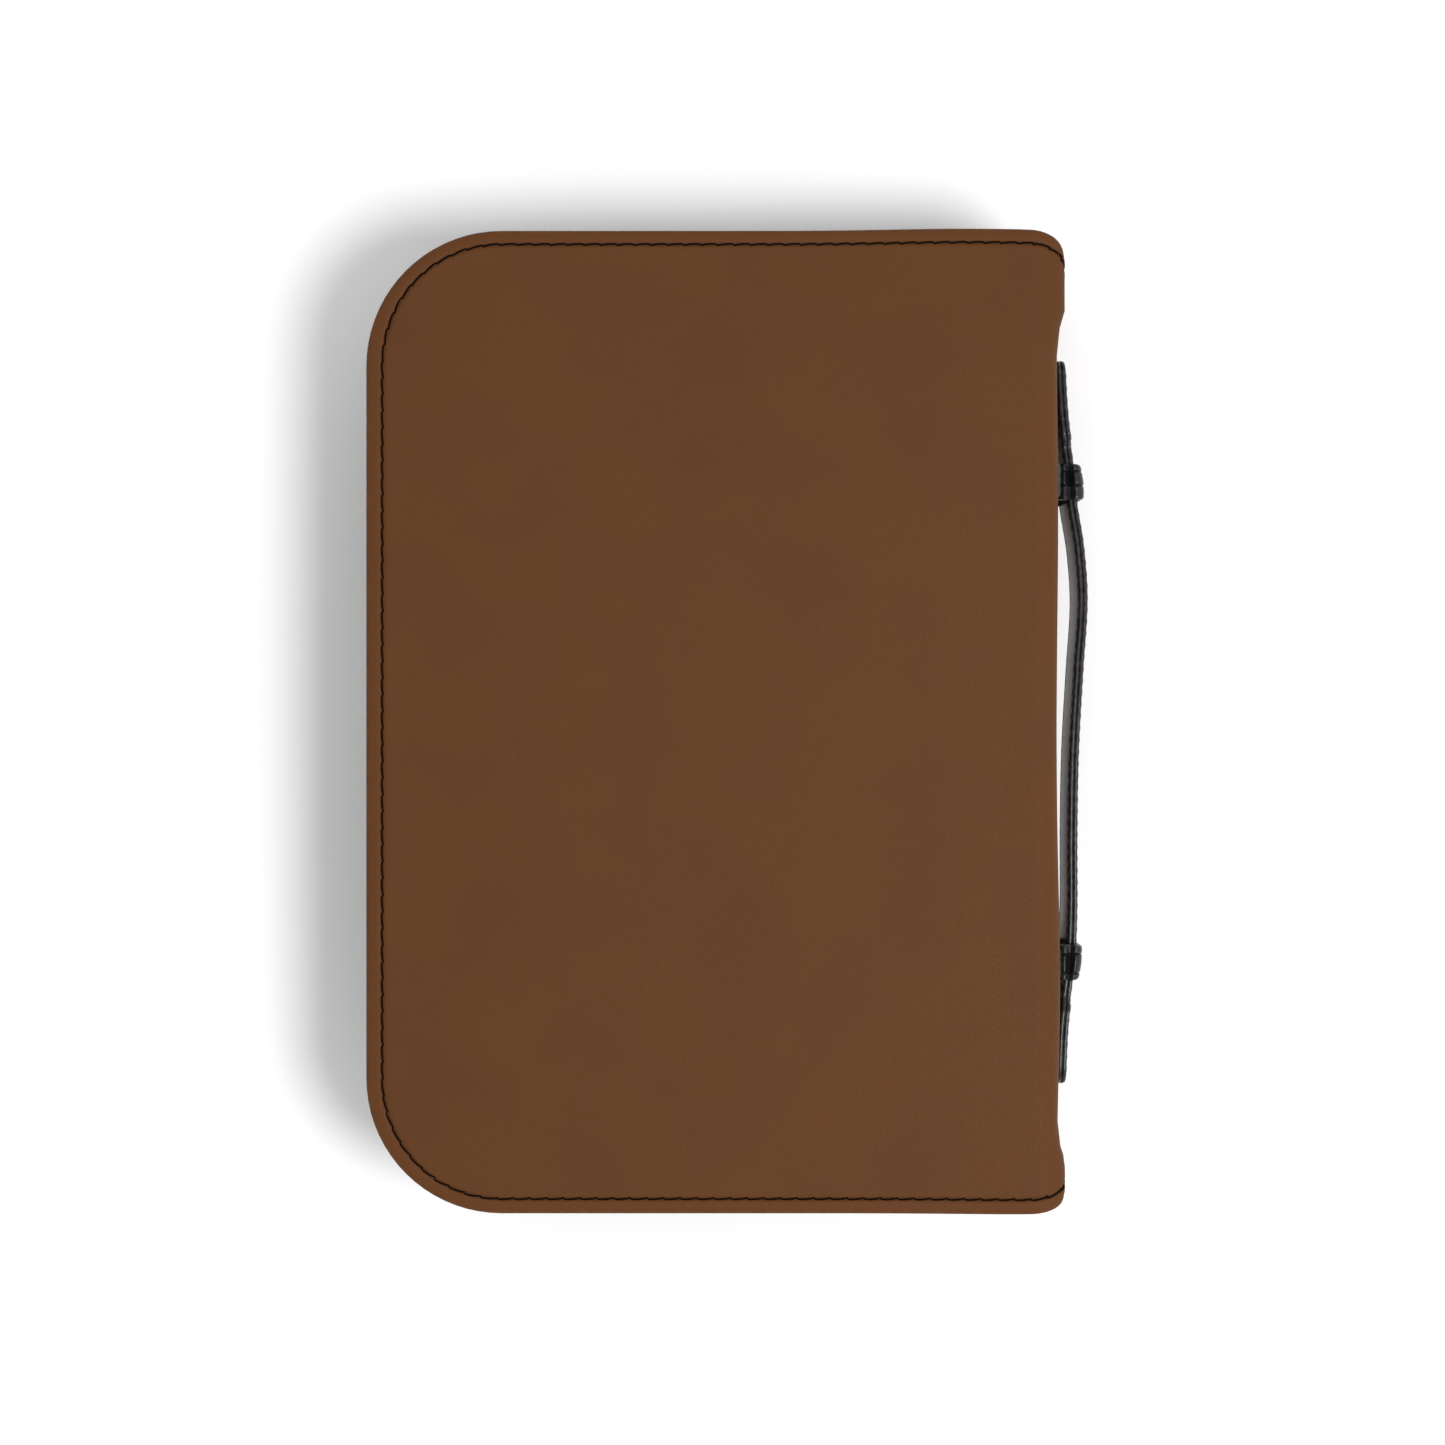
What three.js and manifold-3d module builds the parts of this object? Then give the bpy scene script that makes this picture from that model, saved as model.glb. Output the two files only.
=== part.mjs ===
// A zip-around leather case with a carrying handle on its spine, and the Bible that it holds.
// Millimetres, +Z up. It lies closed on its front cover: +Y is the head, +X the spine, -X the fore-edge.
// The origin is the centre of the front cover's outer face.
// The case opens on two leather folds, one along each long edge of the spine. A zip runs round the other three sides.
// The handle strap slides through two keepers on the spine, and its wide ends stop it there.
import * as THREE from 'three';
import { mergeVertices } from 'three/addons/utils/BufferGeometryUtils.js';
import Module from 'manifold-3d';

const wasm = await Module();
wasm.setup();

// ---- Driving dimensions ----
const caseHeight = 254; // head to tail
const caseThickness = 48;
const foreEdgeX = -90;
const spineX = 88.2; // the spine's outer face at its waist
const cornerRadius = 35; // the two fore-edge corners of a cover
const gap = 0.3; // left between solids that lie against each other

// Leather and the layers of a cover, counted inwards from its outer face
const leather = 1.2;
const hemHeight = 3.2; // the cover's edge, where the leather is turned over
const hemWidth = 4.2;
const boardLow = leather + gap;
const boardHigh = 3.5;
const liningLow = boardHigh + gap;
const liningHigh = 4.6;
const foldRadius = 6;
const flatEndX = spineX - foldRadius; // where a cover's flat part meets the fold

// The spine's head and tail ends stand out a little, and are cut to a curve
const flareDepth = 1.8;
const flareStart = 98;
const flareEnd = 118;
const endCurveX = 78;
const endCurveWidth = 12;
const endCurveDrop = 6;

// The walls: a gusset strip and half of the zip on each cover
const wallInset = 4.5;
const wallThickness = 1;
const gussetTop = 18;
const tapeInset = 5.8;
const tapeThickness = 0.6;
const tapeLow = 14;
const tapeHigh = 22.6;
const teethInset = 5.2;
const teethThickness = 1.8;
const teethLow = 22.9;
const teethHigh = 23.85;
const wallEndX = spineX - leather - 0.4;

// The zip's slider and pull, on the tail wall near the spine
const middleZ = caseThickness / 2;
const sliderX = 68;
const sliderLength = 11;
const sliderHeight = 10;
const plateThickness = 1.1;
const channelDepth = 2.9; // between the slider's two plates
const channelOuterY = -caseHeight / 2 + wallInset - 0.2;
const pivotY = channelOuterY - plateThickness - 1;

// The Bible
const bibleHeight = 226;
const bibleForeX = -74;
const bibleBackX = 80;
const bibleBoardLow = liningHigh + gap;
const bibleBoardHigh = 7.1;
const pagesLow = 8.3;
const pagesHigh = 23.5;
const pagesForeX = -71;
const pagesBackX = 81;
const pagesHeight = 220;

// The handle
const strapThickness = 2.5;
const gripWidth = 20;
const endWidth = 25;
const keeperY = 63.1;
const keeperLength = 9.2;
const gripHalf = 50;
const flexEnd = 57.7;
const strapReach = 95; // half of the strap's whole length, along the spine
const shoulderY = 75.5; // where the strap widens into its end

const arcSteps = 10;
const spineSteps = 28;
const slab = (side, low, high) =>
  side === 'front' ? [low, high] : [caseThickness - high, caseThickness - low];

// ---- Materials ----
const finish = (color, roughness, metalness = 0) =>
  new THREE.MeshStandardMaterial({ color, roughness, metalness });
const brownLeather = finish(0x66422a, 0.62);
const blackLeather = finish(0x1c1b1d, 0.5);
const stiffBoard = finish(0x9a8f80, 0.9);
const liningCloth = finish(0x2a2422, 0.95);
const webbing = finish(0x17171a, 0.85);
const nylon = finish(0x0f0f11, 0.4);
const blackMetal = finish(0x232327, 0.35, 0.9);
const bookLeather = finish(0x2b1714, 0.5);
const paper = finish(0xe9e0c8, 0.9);
const ribbonSilk = finish(0x7a1420, 0.45);

// ---- Solids ----
function toSolid(geometry) {
  const bare = geometry.index ? geometry.toNonIndexed() : geometry.clone();
  bare.deleteAttribute('normal');
  bare.deleteAttribute('uv');
  const merged = mergeVertices(bare, 1e-4);
  return new wasm.Manifold(new wasm.Mesh({
    numProp: 3,
    vertProperties: merged.attributes.position.array,
    triVerts: new Uint32Array(merged.index.array),
  }));
}

function toGeometry(solid) {
  const { vertProperties, triVerts } = solid.getMesh();
  const geometry = new THREE.BufferGeometry();
  geometry.setAttribute('position', new THREE.BufferAttribute(vertProperties, 3));
  geometry.setIndex(new THREE.BufferAttribute(triVerts, 1));
  geometry.computeVertexNormals();
  return geometry;
}

const cut = (geometry, ...tools) =>
  toGeometry(tools.reduce((left, tool) => left.subtract(toSolid(tool)), toSolid(geometry)));
const join = (geometry, ...others) =>
  toGeometry(others.reduce((whole, other) => whole.add(toSolid(other)), toSolid(geometry)));
const common = (a, b) => toGeometry(toSolid(a).intersect(toSolid(b)));

function box(x0, x1, y0, y1, z0, z1) {
  const geometry = new THREE.BoxGeometry(x1 - x0, y1 - y0, z1 - z0);
  return geometry.translate((x0 + x1) / 2, (y0 + y1) / 2, (z0 + z1) / 2);
}

// A plan outline raised from z0 to z1
function raise(shape, z0, z1) {
  const geometry = new THREE.ExtrudeGeometry(shape, {
    depth: z1 - z0, bevelEnabled: false, curveSegments: arcSteps,
  });
  return geometry.translate(0, 0, z0);
}

// A section drawn in X and Z, run along Y from -halfLength to halfLength
function runAlongY(shape, halfLength, steps = 1) {
  const geometry = new THREE.ExtrudeGeometry(shape, {
    depth: 2 * halfLength, steps, bevelEnabled: false, curveSegments: arcSteps,
  });
  return geometry.rotateX(Math.PI / 2).translate(0, halfLength, 0);
}

function polygon(points) {
  return new THREE.Shape(points.map(([x, y]) => new THREE.Vector2(x, y)));
}

// A cover's plan: round corners at the fore-edge, square at the spine side
function coverPlan(inset, rightX) {
  const y = caseHeight / 2 - inset;
  const x = foreEdgeX + inset;
  const r = cornerRadius - inset;
  const plan = new THREE.Shape();
  plan.moveTo(rightX, y);
  plan.lineTo(x + r, y);
  plan.absarc(x + r, y - r, r, Math.PI / 2, Math.PI, false);
  plan.lineTo(x, r - y);
  plan.absarc(x + r, r - y, r, Math.PI, 1.5 * Math.PI, false);
  plan.lineTo(rightX, -y);
  plan.closePath();
  return plan;
}

// A wall's plan: the strip between two cover outlines, open towards the spine
function wallPlan(inset, thickness, rightX) {
  const innerInset = inset + thickness;
  const y = caseHeight / 2 - inset;
  const x = foreEdgeX + inset;
  const r = cornerRadius - inset;
  const innerR = cornerRadius - innerInset;
  const centreX = x + r;
  const centreY = y - r;
  const plan = new THREE.Shape();
  plan.moveTo(rightX, y);
  plan.lineTo(centreX, y);
  plan.absarc(centreX, centreY, r, Math.PI / 2, Math.PI, false);
  plan.lineTo(x, -centreY);
  plan.absarc(centreX, -centreY, r, Math.PI, 1.5 * Math.PI, false);
  plan.lineTo(rightX, -y);
  plan.lineTo(rightX, thickness - y);
  plan.lineTo(centreX, thickness - y);
  plan.absarc(centreX, -centreY, innerR, 1.5 * Math.PI, Math.PI, true);
  plan.lineTo(x + thickness, centreY);
  plan.absarc(centreX, centreY, innerR, Math.PI, Math.PI / 2, true);
  plan.lineTo(rightX, y - thickness);
  plan.closePath();
  return plan;
}

function roundedBook(foreX, backX, halfHeight, r) {
  const plan = new THREE.Shape();
  plan.moveTo(backX, halfHeight);
  plan.lineTo(foreX + r, halfHeight);
  plan.absarc(foreX + r, halfHeight - r, r, Math.PI / 2, Math.PI, false);
  plan.lineTo(foreX, r - halfHeight);
  plan.absarc(foreX + r, r - halfHeight, r, Math.PI, 1.5 * Math.PI, false);
  plan.lineTo(backX, -halfHeight);
  plan.closePath();
  return plan;
}

// Moves the spine side's leather outwards at its head and tail, and curves its ends in
function shapeSpineEnds(geometry) {
  const position = geometry.attributes.position;
  for (let i = 0; i < position.count; i += 1) {
    const reach = Math.abs(position.getY(i));
    const t = THREE.MathUtils.smoothstep(reach, flareStart, flareEnd);
    const share = THREE.MathUtils.clamp((position.getX(i) - flatEndX) / foldRadius, 0, 1);
    const x = position.getX(i) + flareDepth * t * share;
    const across = THREE.MathUtils.clamp((x - endCurveX) / endCurveWidth, 0, 1);
    const endY = caseHeight / 2 - endCurveDrop * (1 - Math.sqrt(1 - across * across));
    position.setX(i, x);
    position.setY(i, position.getY(i) * endY / (caseHeight / 2));
  }
  geometry.computeVertexNormals();
  return geometry;
}

// ---- The case's covers ----
function coverLeather(side) {
  const [hemLow, hemHigh] = slab(side, 0, hemHeight);
  const [pocketLow, pocketHigh] = slab(side, leather, hemHeight + 1);
  return cut(
    raise(coverPlan(0, flatEndX), hemLow, hemHigh),
    raise(coverPlan(hemWidth, flatEndX + 1), pocketLow, pocketHigh),
  );
}

const layerInset = wallInset + wallThickness + gap;
const layer = (side, low, high) => raise(coverPlan(layerInset, flatEndX - gap), ...slab(side, low, high));

// The pocket on a cover's fore-edge side, which the Bible's board slides into
function sleeve(side) {
  const openX = -25;
  const cloth = 0.6;
  const edge = 1;
  const outerInset = layerInset + gap;
  const low = bibleBoardLow;
  const high = bibleBoardHigh + gap + cloth;
  const [z0, z1] = slab(side, low, high);
  const [c0, c1] = slab(side, low - 1, high - cloth);
  return cut(
    raise(coverPlan(outerInset, openX), z0, z1),
    raise(coverPlan(outerInset + edge, openX + 1), c0, c1),
  );
}

// A fold of leather from a cover round to the spine: a quarter turn
function fold(side) {
  const sign = side === 'front' ? 1 : -1;
  const centreZ = side === 'front' ? foldRadius : caseThickness - foldRadius;
  const from = -Math.PI / 2;
  const clear = gap / foldRadius;
  const steps = 6;
  const ring = (radius) => Array.from({ length: steps + 1 }, (_, i) => {
    const angle = from + clear + (Math.PI / 2 - 2 * clear) * i / steps;
    return [flatEndX + radius * Math.cos(angle), centreZ + sign * radius * Math.sin(angle)];
  });
  const points = [...ring(foldRadius), ...ring(foldRadius - leather).reverse()];
  return shapeSpineEnds(runAlongY(polygon(points), caseHeight / 2, spineSteps));
}

// What a wall may fill at the spine end: it stops clear of the fold
function wallRoom(side) {
  const clearRadius = foldRadius - leather - gap;
  const steps = 6;
  const points = [[foreEdgeX, boardLow], [flatEndX, boardLow]];
  for (let i = 1; i <= steps; i += 1) {
    const angle = -Math.PI / 2 + (Math.PI / 2) * i / steps;
    points.push([flatEndX + clearRadius * Math.cos(angle), foldRadius + clearRadius * Math.sin(angle)]);
  }
  points.push([flatEndX + clearRadius, middleZ], [foreEdgeX, middleZ]);
  const placed = side === 'front' ? points : points.map(([x, z]) => [x, caseThickness - z]);
  return runAlongY(polygon(placed), caseHeight / 2);
}

const gusset = (side) => common(
  raise(wallPlan(wallInset, wallThickness, wallEndX), ...slab(side, boardLow, gussetTop)),
  wallRoom(side),
);
const zipTape = (side) => common(
  raise(wallPlan(tapeInset, tapeThickness, wallEndX), ...slab(side, tapeLow, tapeHigh)),
  wallRoom(side),
);

// One side's row of teeth as a plain bead, ending where the slider's wedge stands
function zipTeeth(side) {
  const outer = raise(wallPlan(teethInset, teethThickness, wallEndX - 6), ...slab(side, teethLow, teethHigh));
  const openEnd = box(sliderX + 0.8, wallEndX, -caseHeight / 2, -caseHeight / 4, 0, caseThickness);
  return cut(outer, openEnd);
}

// A metal stop on the tape's edge, by the spine
function zipStop(side, end) {
  const x = wallEndX - 5;
  const y = end === 'head' ? caseHeight / 2 - tapeInset : -caseHeight / 2 + tapeInset + tapeThickness;
  const [z0, z1] = slab(side, tapeHigh + gap, teethHigh);
  return box(x, x + 2.4, y - tapeThickness - 0.5, y + 0.5, z0, z1);
}

// ---- The zip's slider and pull ----
function sliderBody() {
  const half = sliderLength / 2;
  const noseHalf = sliderHeight / 2;
  const tailHalf = sliderHeight / 2 - 0.8;
  const innerY = channelOuterY + channelDepth;
  // The plate in X and Z, narrower at the closing end's tail
  const plate = polygon([
    [-half, -tailHalf], [half - 2, -noseHalf], [half, -noseHalf + 1.6],
    [half, noseHalf - 1.6], [half - 2, noseHalf], [-half, tailHalf],
  ]);
  const outerPlate = runAlongY(plate, plateThickness / 2).translate(0, channelOuterY - plateThickness / 2, 0);
  const innerPlate = runAlongY(plate, plateThickness / 2).translate(0, innerY + plateThickness / 2, 0);
  const wedge = box(half - 4.2, half - 1.2, channelOuterY - 0.5, innerY + 0.5, -1, 1);
  const lips = [];
  for (const z of [-1, 1]) {
    const middle = z * (tailHalf - 0.4);
    lips.push(box(-half + 0.2, half - 2.4, channelOuterY - 0.3, channelOuterY + 0.55, middle - 0.35, middle + 0.35));
    lips.push(box(-half + 0.2, half - 2.4, innerY - 0.55, innerY + 0.3, middle - 0.35, middle + 0.35));
  }
  const archY = pivotY - 1;
  const bridge = [
    box(-3.4, 3.4, archY - 0.9, archY, -1.3, 1.3),
    box(-3.4, -2.4, archY - 0.5, channelOuterY - 0.5, -1.3, 1.3),
    box(2.4, 3.4, archY - 0.5, channelOuterY - 0.5, -1.3, 1.3),
  ];
  return join(outerPlate, innerPlate, wedge, ...lips, ...bridge).translate(sliderX, 0, middleZ);
}

const linkReach = 9.5;
const linkHalf = 0.6;
// A flat ring: a bar under the slider's bridge, two arms, and a bar that holds the leather tab
function pullLink() {
  const frame = box(-linkReach, linkHalf, -linkHalf, linkHalf, -3.3, 3.3);
  const opening = box(-linkReach + 2 * linkHalf, -linkHalf, -1, 1, -1.9, 1.9);
  return cut(frame, opening).translate(sliderX, pivotY, middleZ);
}

// A leather strip folded round the link's end bar, with a round tip
function pullTab() {
  const width = 3.2;
  const length = 30;
  const thick = 2.6;
  const outline = new THREE.Shape();
  outline.moveTo(0, -width / 2);
  outline.lineTo(-3.4, -width / 2);
  outline.lineTo(-5.4, -4);
  outline.lineTo(4 - length, -4);
  outline.absarc(4 - length, 0, 4, -Math.PI / 2, Math.PI / 2, true);
  outline.lineTo(-5.4, 4);
  outline.lineTo(-3.4, width / 2);
  outline.lineTo(0, width / 2);
  outline.closePath();
  const strip = runAlongY(outline, thick / 2);
  const barHole = box(-3.2, -1.2, -0.9, 0.9, -5, 5);
  // The strip's root wraps the bar: its hole is open at both sides
  const root = cut(strip, barHole);
  return root.translate(sliderX - linkReach + 2.7, pivotY, middleZ);
}

// ---- The handle ----
// The strap's middle line: how far it stands off the spine along its length, from head to tail
const strapLine = new THREE.CatmullRomCurve3([
  [95, 1.9], [80, 2.3], [67, 4.0], [58, 5.3], [46, 7.3], [32, 8.2], [14, 7.5],
  [-8, 6.6], [-30, 6.0], [-48, 5.8], [-60, 5.3], [-68, 4.1], [-80, 2.4], [-95, 1.9],
].map(([y, off]) => new THREE.Vector3(spineX + off, y, 0)), false, 'centripetal');

function strapStretch(fromY, toY) {
  const samples = strapLine.getPoints(160).filter((p) => p.y <= fromY && p.y >= toY);
  const ends = [fromY, toY].map((y) => {
    const points = strapLine.getPoints(800);
    return points.reduce((best, p) => (Math.abs(p.y - y) < Math.abs(best.y - y) ? p : best));
  });
  const spacing = 4;
  const kept = [ends[0]];
  for (const p of samples) {
    if (kept[kept.length - 1].y - p.y > spacing && p.y - toY > spacing / 2) kept.push(p);
  }
  kept.push(ends[1]);
  const outer = kept.map((p) => [p.x + strapThickness / 2, p.y]);
  const inner = kept.map((p) => [p.x - strapThickness / 2, p.y]).reverse();
  return raise(polygon([...inner, ...outer]), middleZ - endWidth / 2 - 1, middleZ + endWidth / 2 + 1);
}

// The strap seen from the spine side: a narrow grip with wide, round-cornered ends
function strapFace() {
  const g = gripWidth / 2;
  const w = endWidth / 2;
  const r = 4;
  const half = [
    [0, g], [shoulderY - 3, g], [shoulderY, w], [strapReach - r, w], [strapReach - 0.3 * r, w - 0.3 * r],
    [strapReach + 0.2, w - r],
  ];
  const right = [...half, ...half.slice(1).reverse().map(([y, z]) => [y, -z])];
  const left = [...right.slice().reverse()].map(([y, z]) => [-y, z]);
  const face = polygon([...right, [0, -g], ...left.slice(0, -1)]);
  const depth = 14;
  const geometry = new THREE.ExtrudeGeometry(face, { depth, bevelEnabled: false });
  // Drawn in local x, y, which become the part's Y and Z
  const basis = new THREE.Matrix4().makeBasis(
    new THREE.Vector3(0, 1, 0), new THREE.Vector3(0, 0, 1), new THREE.Vector3(1, 0, 0),
  );
  return geometry.applyMatrix4(basis).translate(spineX, 0, middleZ);
}

const strapPiece = (fromY, toY) => common(strapStretch(fromY, toY), strapFace());

// A leather loop sewn to the spine by its flanges, with the strap running through it
function keeper(end) {
  const footX = spineX + gap;
  const foot = 1.3;
  const outX = 96.9;
  const wall = 1.8;
  const slotHalf = gripWidth / 2 + 0.9;
  const humpHalf = slotHalf + wall;
  const flangeHalf = 17;
  const r = 3.5;
  const section = new THREE.Shape();
  section.moveTo(footX, -flangeHalf);
  section.lineTo(footX + foot, -flangeHalf);
  section.lineTo(footX + foot, -humpHalf);
  section.lineTo(outX - r, -humpHalf);
  section.absarc(outX - r, -humpHalf + r, r, -Math.PI / 2, 0, false);
  section.lineTo(outX, humpHalf - r);
  section.absarc(outX - r, humpHalf - r, r, 0, Math.PI / 2, false);
  section.lineTo(footX + foot, humpHalf);
  section.lineTo(footX + foot, flangeHalf);
  section.lineTo(footX, flangeHalf);
  section.closePath();
  const slot = new THREE.Path();
  slot.moveTo(footX + foot, -slotHalf);
  slot.lineTo(footX + foot, slotHalf);
  slot.lineTo(outX - wall, slotHalf);
  slot.lineTo(outX - wall, -slotHalf);
  slot.closePath();
  section.holes.push(slot);
  const y = end === 'head' ? keeperY : -keeperY;
  return runAlongY(section, keeperLength / 2).translate(0, y, middleZ);
}

// ---- The Bible ----
const bibleBoard = (side) =>
  raise(roundedBook(bibleForeX, bibleBackX, bibleHeight / 2, 8), ...slab(side, bibleBoardLow, bibleBoardHigh));
const pageBlock = (side) =>
  raise(roundedBook(pagesForeX, pagesBackX, pagesHeight / 2, 6), ...slab(side, pagesLow, pagesHigh));

function bibleSpine() {
  const low = bibleBoardHigh + 0.4;
  const bulge = 0.5;
  const x = pagesBackX + 0.4;
  const points = [[x, low], [x + 1.4, low], [x + 1.4 + bulge, middleZ],
    [x + 1.4, caseThickness - low], [x, caseThickness - low]];
  return runAlongY(polygon(points), bibleHeight / 2);
}

// The rolled band at each end of the Bible's spine
function headband(end) {
  const radius = 0.9;
  const length = caseThickness - 2 * (pagesLow + 0.7);
  const y = pagesHeight / 2 + gap + radius;
  const roll = new THREE.CylinderGeometry(radius, radius, length, 12).rotateX(Math.PI / 2);
  return roll.translate(pagesBackX - radius - 0.4, end === 'head' ? y : -y, middleZ);
}

function ribbonMarker() {
  const halfWidth = 4;
  const thick = 0.4;
  const [topX, topY, lowX, lowY] = [74, 108, 40, -116.5];
  const plan = polygon([
    [topX - halfWidth, topY], [lowX - halfWidth, lowY], [lowX, lowY + 3], [lowX + halfWidth, lowY],
    [topX + halfWidth, topY],
  ]);
  return raise(plan, middleZ - thick / 2, middleZ + thick / 2);
}

// An elastic loop on the front pocket, beside the pages, for a pen
function penLoop() {
  const outer = 5.2;
  const inner = 4.3;
  const halfLength = 16;
  const centreX = -77.3;
  const centreZ = bibleBoardHigh + 2 * gap + 0.6 + outer;
  const section = new THREE.Shape().absarc(centreX, centreZ, outer, 0, 2 * Math.PI, false);
  section.holes.push(new THREE.Path().absarc(centreX, centreZ, inner, 0, 2 * Math.PI, true));
  return runAlongY(section, halfLength).translate(0, 38, 0);
}

// ---- The assembly ----
const bible = new THREE.Group();

function addPiece(name, geometry, material) {
  const mesh = new THREE.Mesh(geometry, material);
  mesh.name = name;
  bible.add(mesh);
}

for (const side of ['front', 'back']) {
  addPiece(`${side}_cover_leather`, coverLeather(side), brownLeather);
  addPiece(`${side}_cover_board`, layer(side, boardLow, boardHigh), stiffBoard);
  addPiece(`${side}_cover_lining`, layer(side, liningLow, liningHigh), liningCloth);
  addPiece(`${side}_bible_sleeve`, sleeve(side), liningCloth);
  addPiece(`${side}_spine_fold`, fold(side), brownLeather);
  addPiece(`${side}_gusset`, gusset(side), webbing);
  addPiece(`${side}_zip_tape`, zipTape(side), webbing);
  addPiece(`${side}_zip_teeth`, zipTeeth(side), nylon);
  addPiece(`${side}_zip_top_stop`, zipStop(side, 'tail'), blackMetal);
  addPiece(`${side}_zip_bottom_stop`, zipStop(side, 'head'), blackMetal);
  addPiece(`bible_${side}_board`, bibleBoard(side), bookLeather);
  addPiece(`bible_${side}_pages`, pageBlock(side), paper);
}

// The spine's leather, stiffener and lining stand upright between the two folds
const spineLow = foldRadius + gap;
const spineSection = polygon([
  [spineX - leather, spineLow], [spineX, spineLow],
  [spineX, caseThickness - spineLow], [spineX - leather, caseThickness - spineLow],
]);
const spineInnerX = spineX - leather - gap;
const stiffenerX = spineInnerX - 1.6;
const innerHalf = 117;
addPiece('spine_leather', shapeSpineEnds(runAlongY(spineSection, caseHeight / 2, spineSteps)), brownLeather);
addPiece('spine_board', box(stiffenerX, spineInnerX, -innerHalf, innerHalf, 7, caseThickness - 7), stiffBoard);
addPiece('spine_lining',
  box(stiffenerX - gap - 0.8, stiffenerX - gap, -innerHalf, innerHalf, 6.5, caseThickness - 6.5), liningCloth);

addPiece('bible_spine', bibleSpine(), bookLeather);
addPiece('ribbon_marker', ribbonMarker(), ribbonSilk);
addPiece('pen_loop', penLoop(), webbing);
for (const end of ['head', 'tail']) {
  const sign = end === 'head' ? 1 : -1;
  const between = (low, high) => (sign > 0 ? strapPiece(high, low) : strapPiece(-low, -high));
  addPiece(`${end}band`, headband(end), ribbonSilk);
  addPiece(`handle_keeper_${end}`, keeper(end), blackLeather);
  addPiece(`handle_bend_${end}`, between(gripHalf + gap, flexEnd), blackLeather);
  addPiece(`handle_end_${end}`, between(flexEnd + gap, strapReach), blackLeather);
}
addPiece('handle_grip', strapPiece(gripHalf, -gripHalf), blackLeather);

addPiece('zip_slider', sliderBody(), blackMetal);
addPiece('zip_pull_link', pullLink(), blackMetal);
addPiece('zip_pull_tab', pullTab(), blackLeather);

export default bible;
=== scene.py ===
import math

import bmesh
import bpy
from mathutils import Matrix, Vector


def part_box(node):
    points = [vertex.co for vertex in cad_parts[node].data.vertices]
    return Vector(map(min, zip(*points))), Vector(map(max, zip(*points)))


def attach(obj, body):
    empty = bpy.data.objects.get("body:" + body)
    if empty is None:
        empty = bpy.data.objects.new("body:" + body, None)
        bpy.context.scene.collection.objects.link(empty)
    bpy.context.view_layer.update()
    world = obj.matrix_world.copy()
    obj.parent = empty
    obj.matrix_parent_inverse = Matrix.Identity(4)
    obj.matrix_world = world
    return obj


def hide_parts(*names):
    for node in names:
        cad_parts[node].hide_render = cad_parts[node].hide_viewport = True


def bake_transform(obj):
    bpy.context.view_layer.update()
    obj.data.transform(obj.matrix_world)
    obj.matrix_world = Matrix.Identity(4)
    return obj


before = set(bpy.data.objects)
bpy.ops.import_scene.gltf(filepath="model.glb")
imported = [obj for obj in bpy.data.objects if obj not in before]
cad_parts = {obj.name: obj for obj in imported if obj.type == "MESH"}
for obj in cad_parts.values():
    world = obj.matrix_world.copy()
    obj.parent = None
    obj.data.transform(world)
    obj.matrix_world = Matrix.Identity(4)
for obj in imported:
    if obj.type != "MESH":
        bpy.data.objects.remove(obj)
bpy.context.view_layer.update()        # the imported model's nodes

collection = bpy.context.scene.collection
mm = 0.001

# The closed case lies on its front cover: x to the spine, y to the head, z up.
# h is the distance inwards from the nearer cover's outer face, so both halves share one recipe.
leatherLow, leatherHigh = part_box("back_cover_leather")
case = {
    "foreX": leatherLow.x,
    "halfHeight": leatherHigh.y,
    "thickness": leatherHigh.z,
    "flatEndX": leatherHigh.x,          # where a cover's flat part meets the fold
    "cornerRadius": 35 * mm,
    "foldRadius": 6 * mm,
    "foldSwell": 0.8 * mm,              # padding that stands the spine out a little further
    "flareDepth": 2.1 * mm,             # how far the spine's ends stand out
    "flare": {"head": (100 * mm, 112 * mm), "tail": (106 * mm, 120 * mm)},
    # where, how widely and how far the spine bulges behind the keepers, and the head and tail edges bow out
    "bulge": {"head": (54 * mm, 34 * mm, 0.42 * mm), "tail": (68 * mm, 34 * mm, 0.93 * mm)},
    "bow": {"head": (65 * mm, 26 * mm, 0.57 * mm), "tail": (82 * mm, 26 * mm, 0.29 * mm)},
    "endCurveX": leatherHigh.x - 1.4 * mm,      # from here the head and tail edges curve in to the spine
    "endCurveWidth": 10 * mm,
    "endCurveDrop": {"head": 6 * mm, "tail": 4 * mm},
    "steps": (40, 18, 44),              # along the head, round a corner, down the fore-edge
}
middleH = case["thickness"] / 2
spineX = case["flatEndX"] + case["foldRadius"] + case["foldSwell"]
coverBody = {"front": "front_cover", "back": "back_cover"}


# small helpers

def smooth(low, high, value):
    t = min(1, max(0, (value - low) / (high - low)))
    return t * t * (3 - 2 * t)


def mix(low, high, share):
    return low + (high - low) * share


def bump(centre, width, value):
    return math.exp(-((value - centre) / width) ** 2)


# 1 at the very edge, falling to 0 at reach, along a quarter circle
def roundOver(inset, reach):
    t = min(1, inset / reach)
    return 1 - math.sqrt(max(0, 1 - (1 - t) ** 2))


# the place that x, y and h stand for in the front or the back half
def toSide(side, x, y, h):
    return Vector((x, y, h if side == "front" else case["thickness"] - h))


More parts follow.
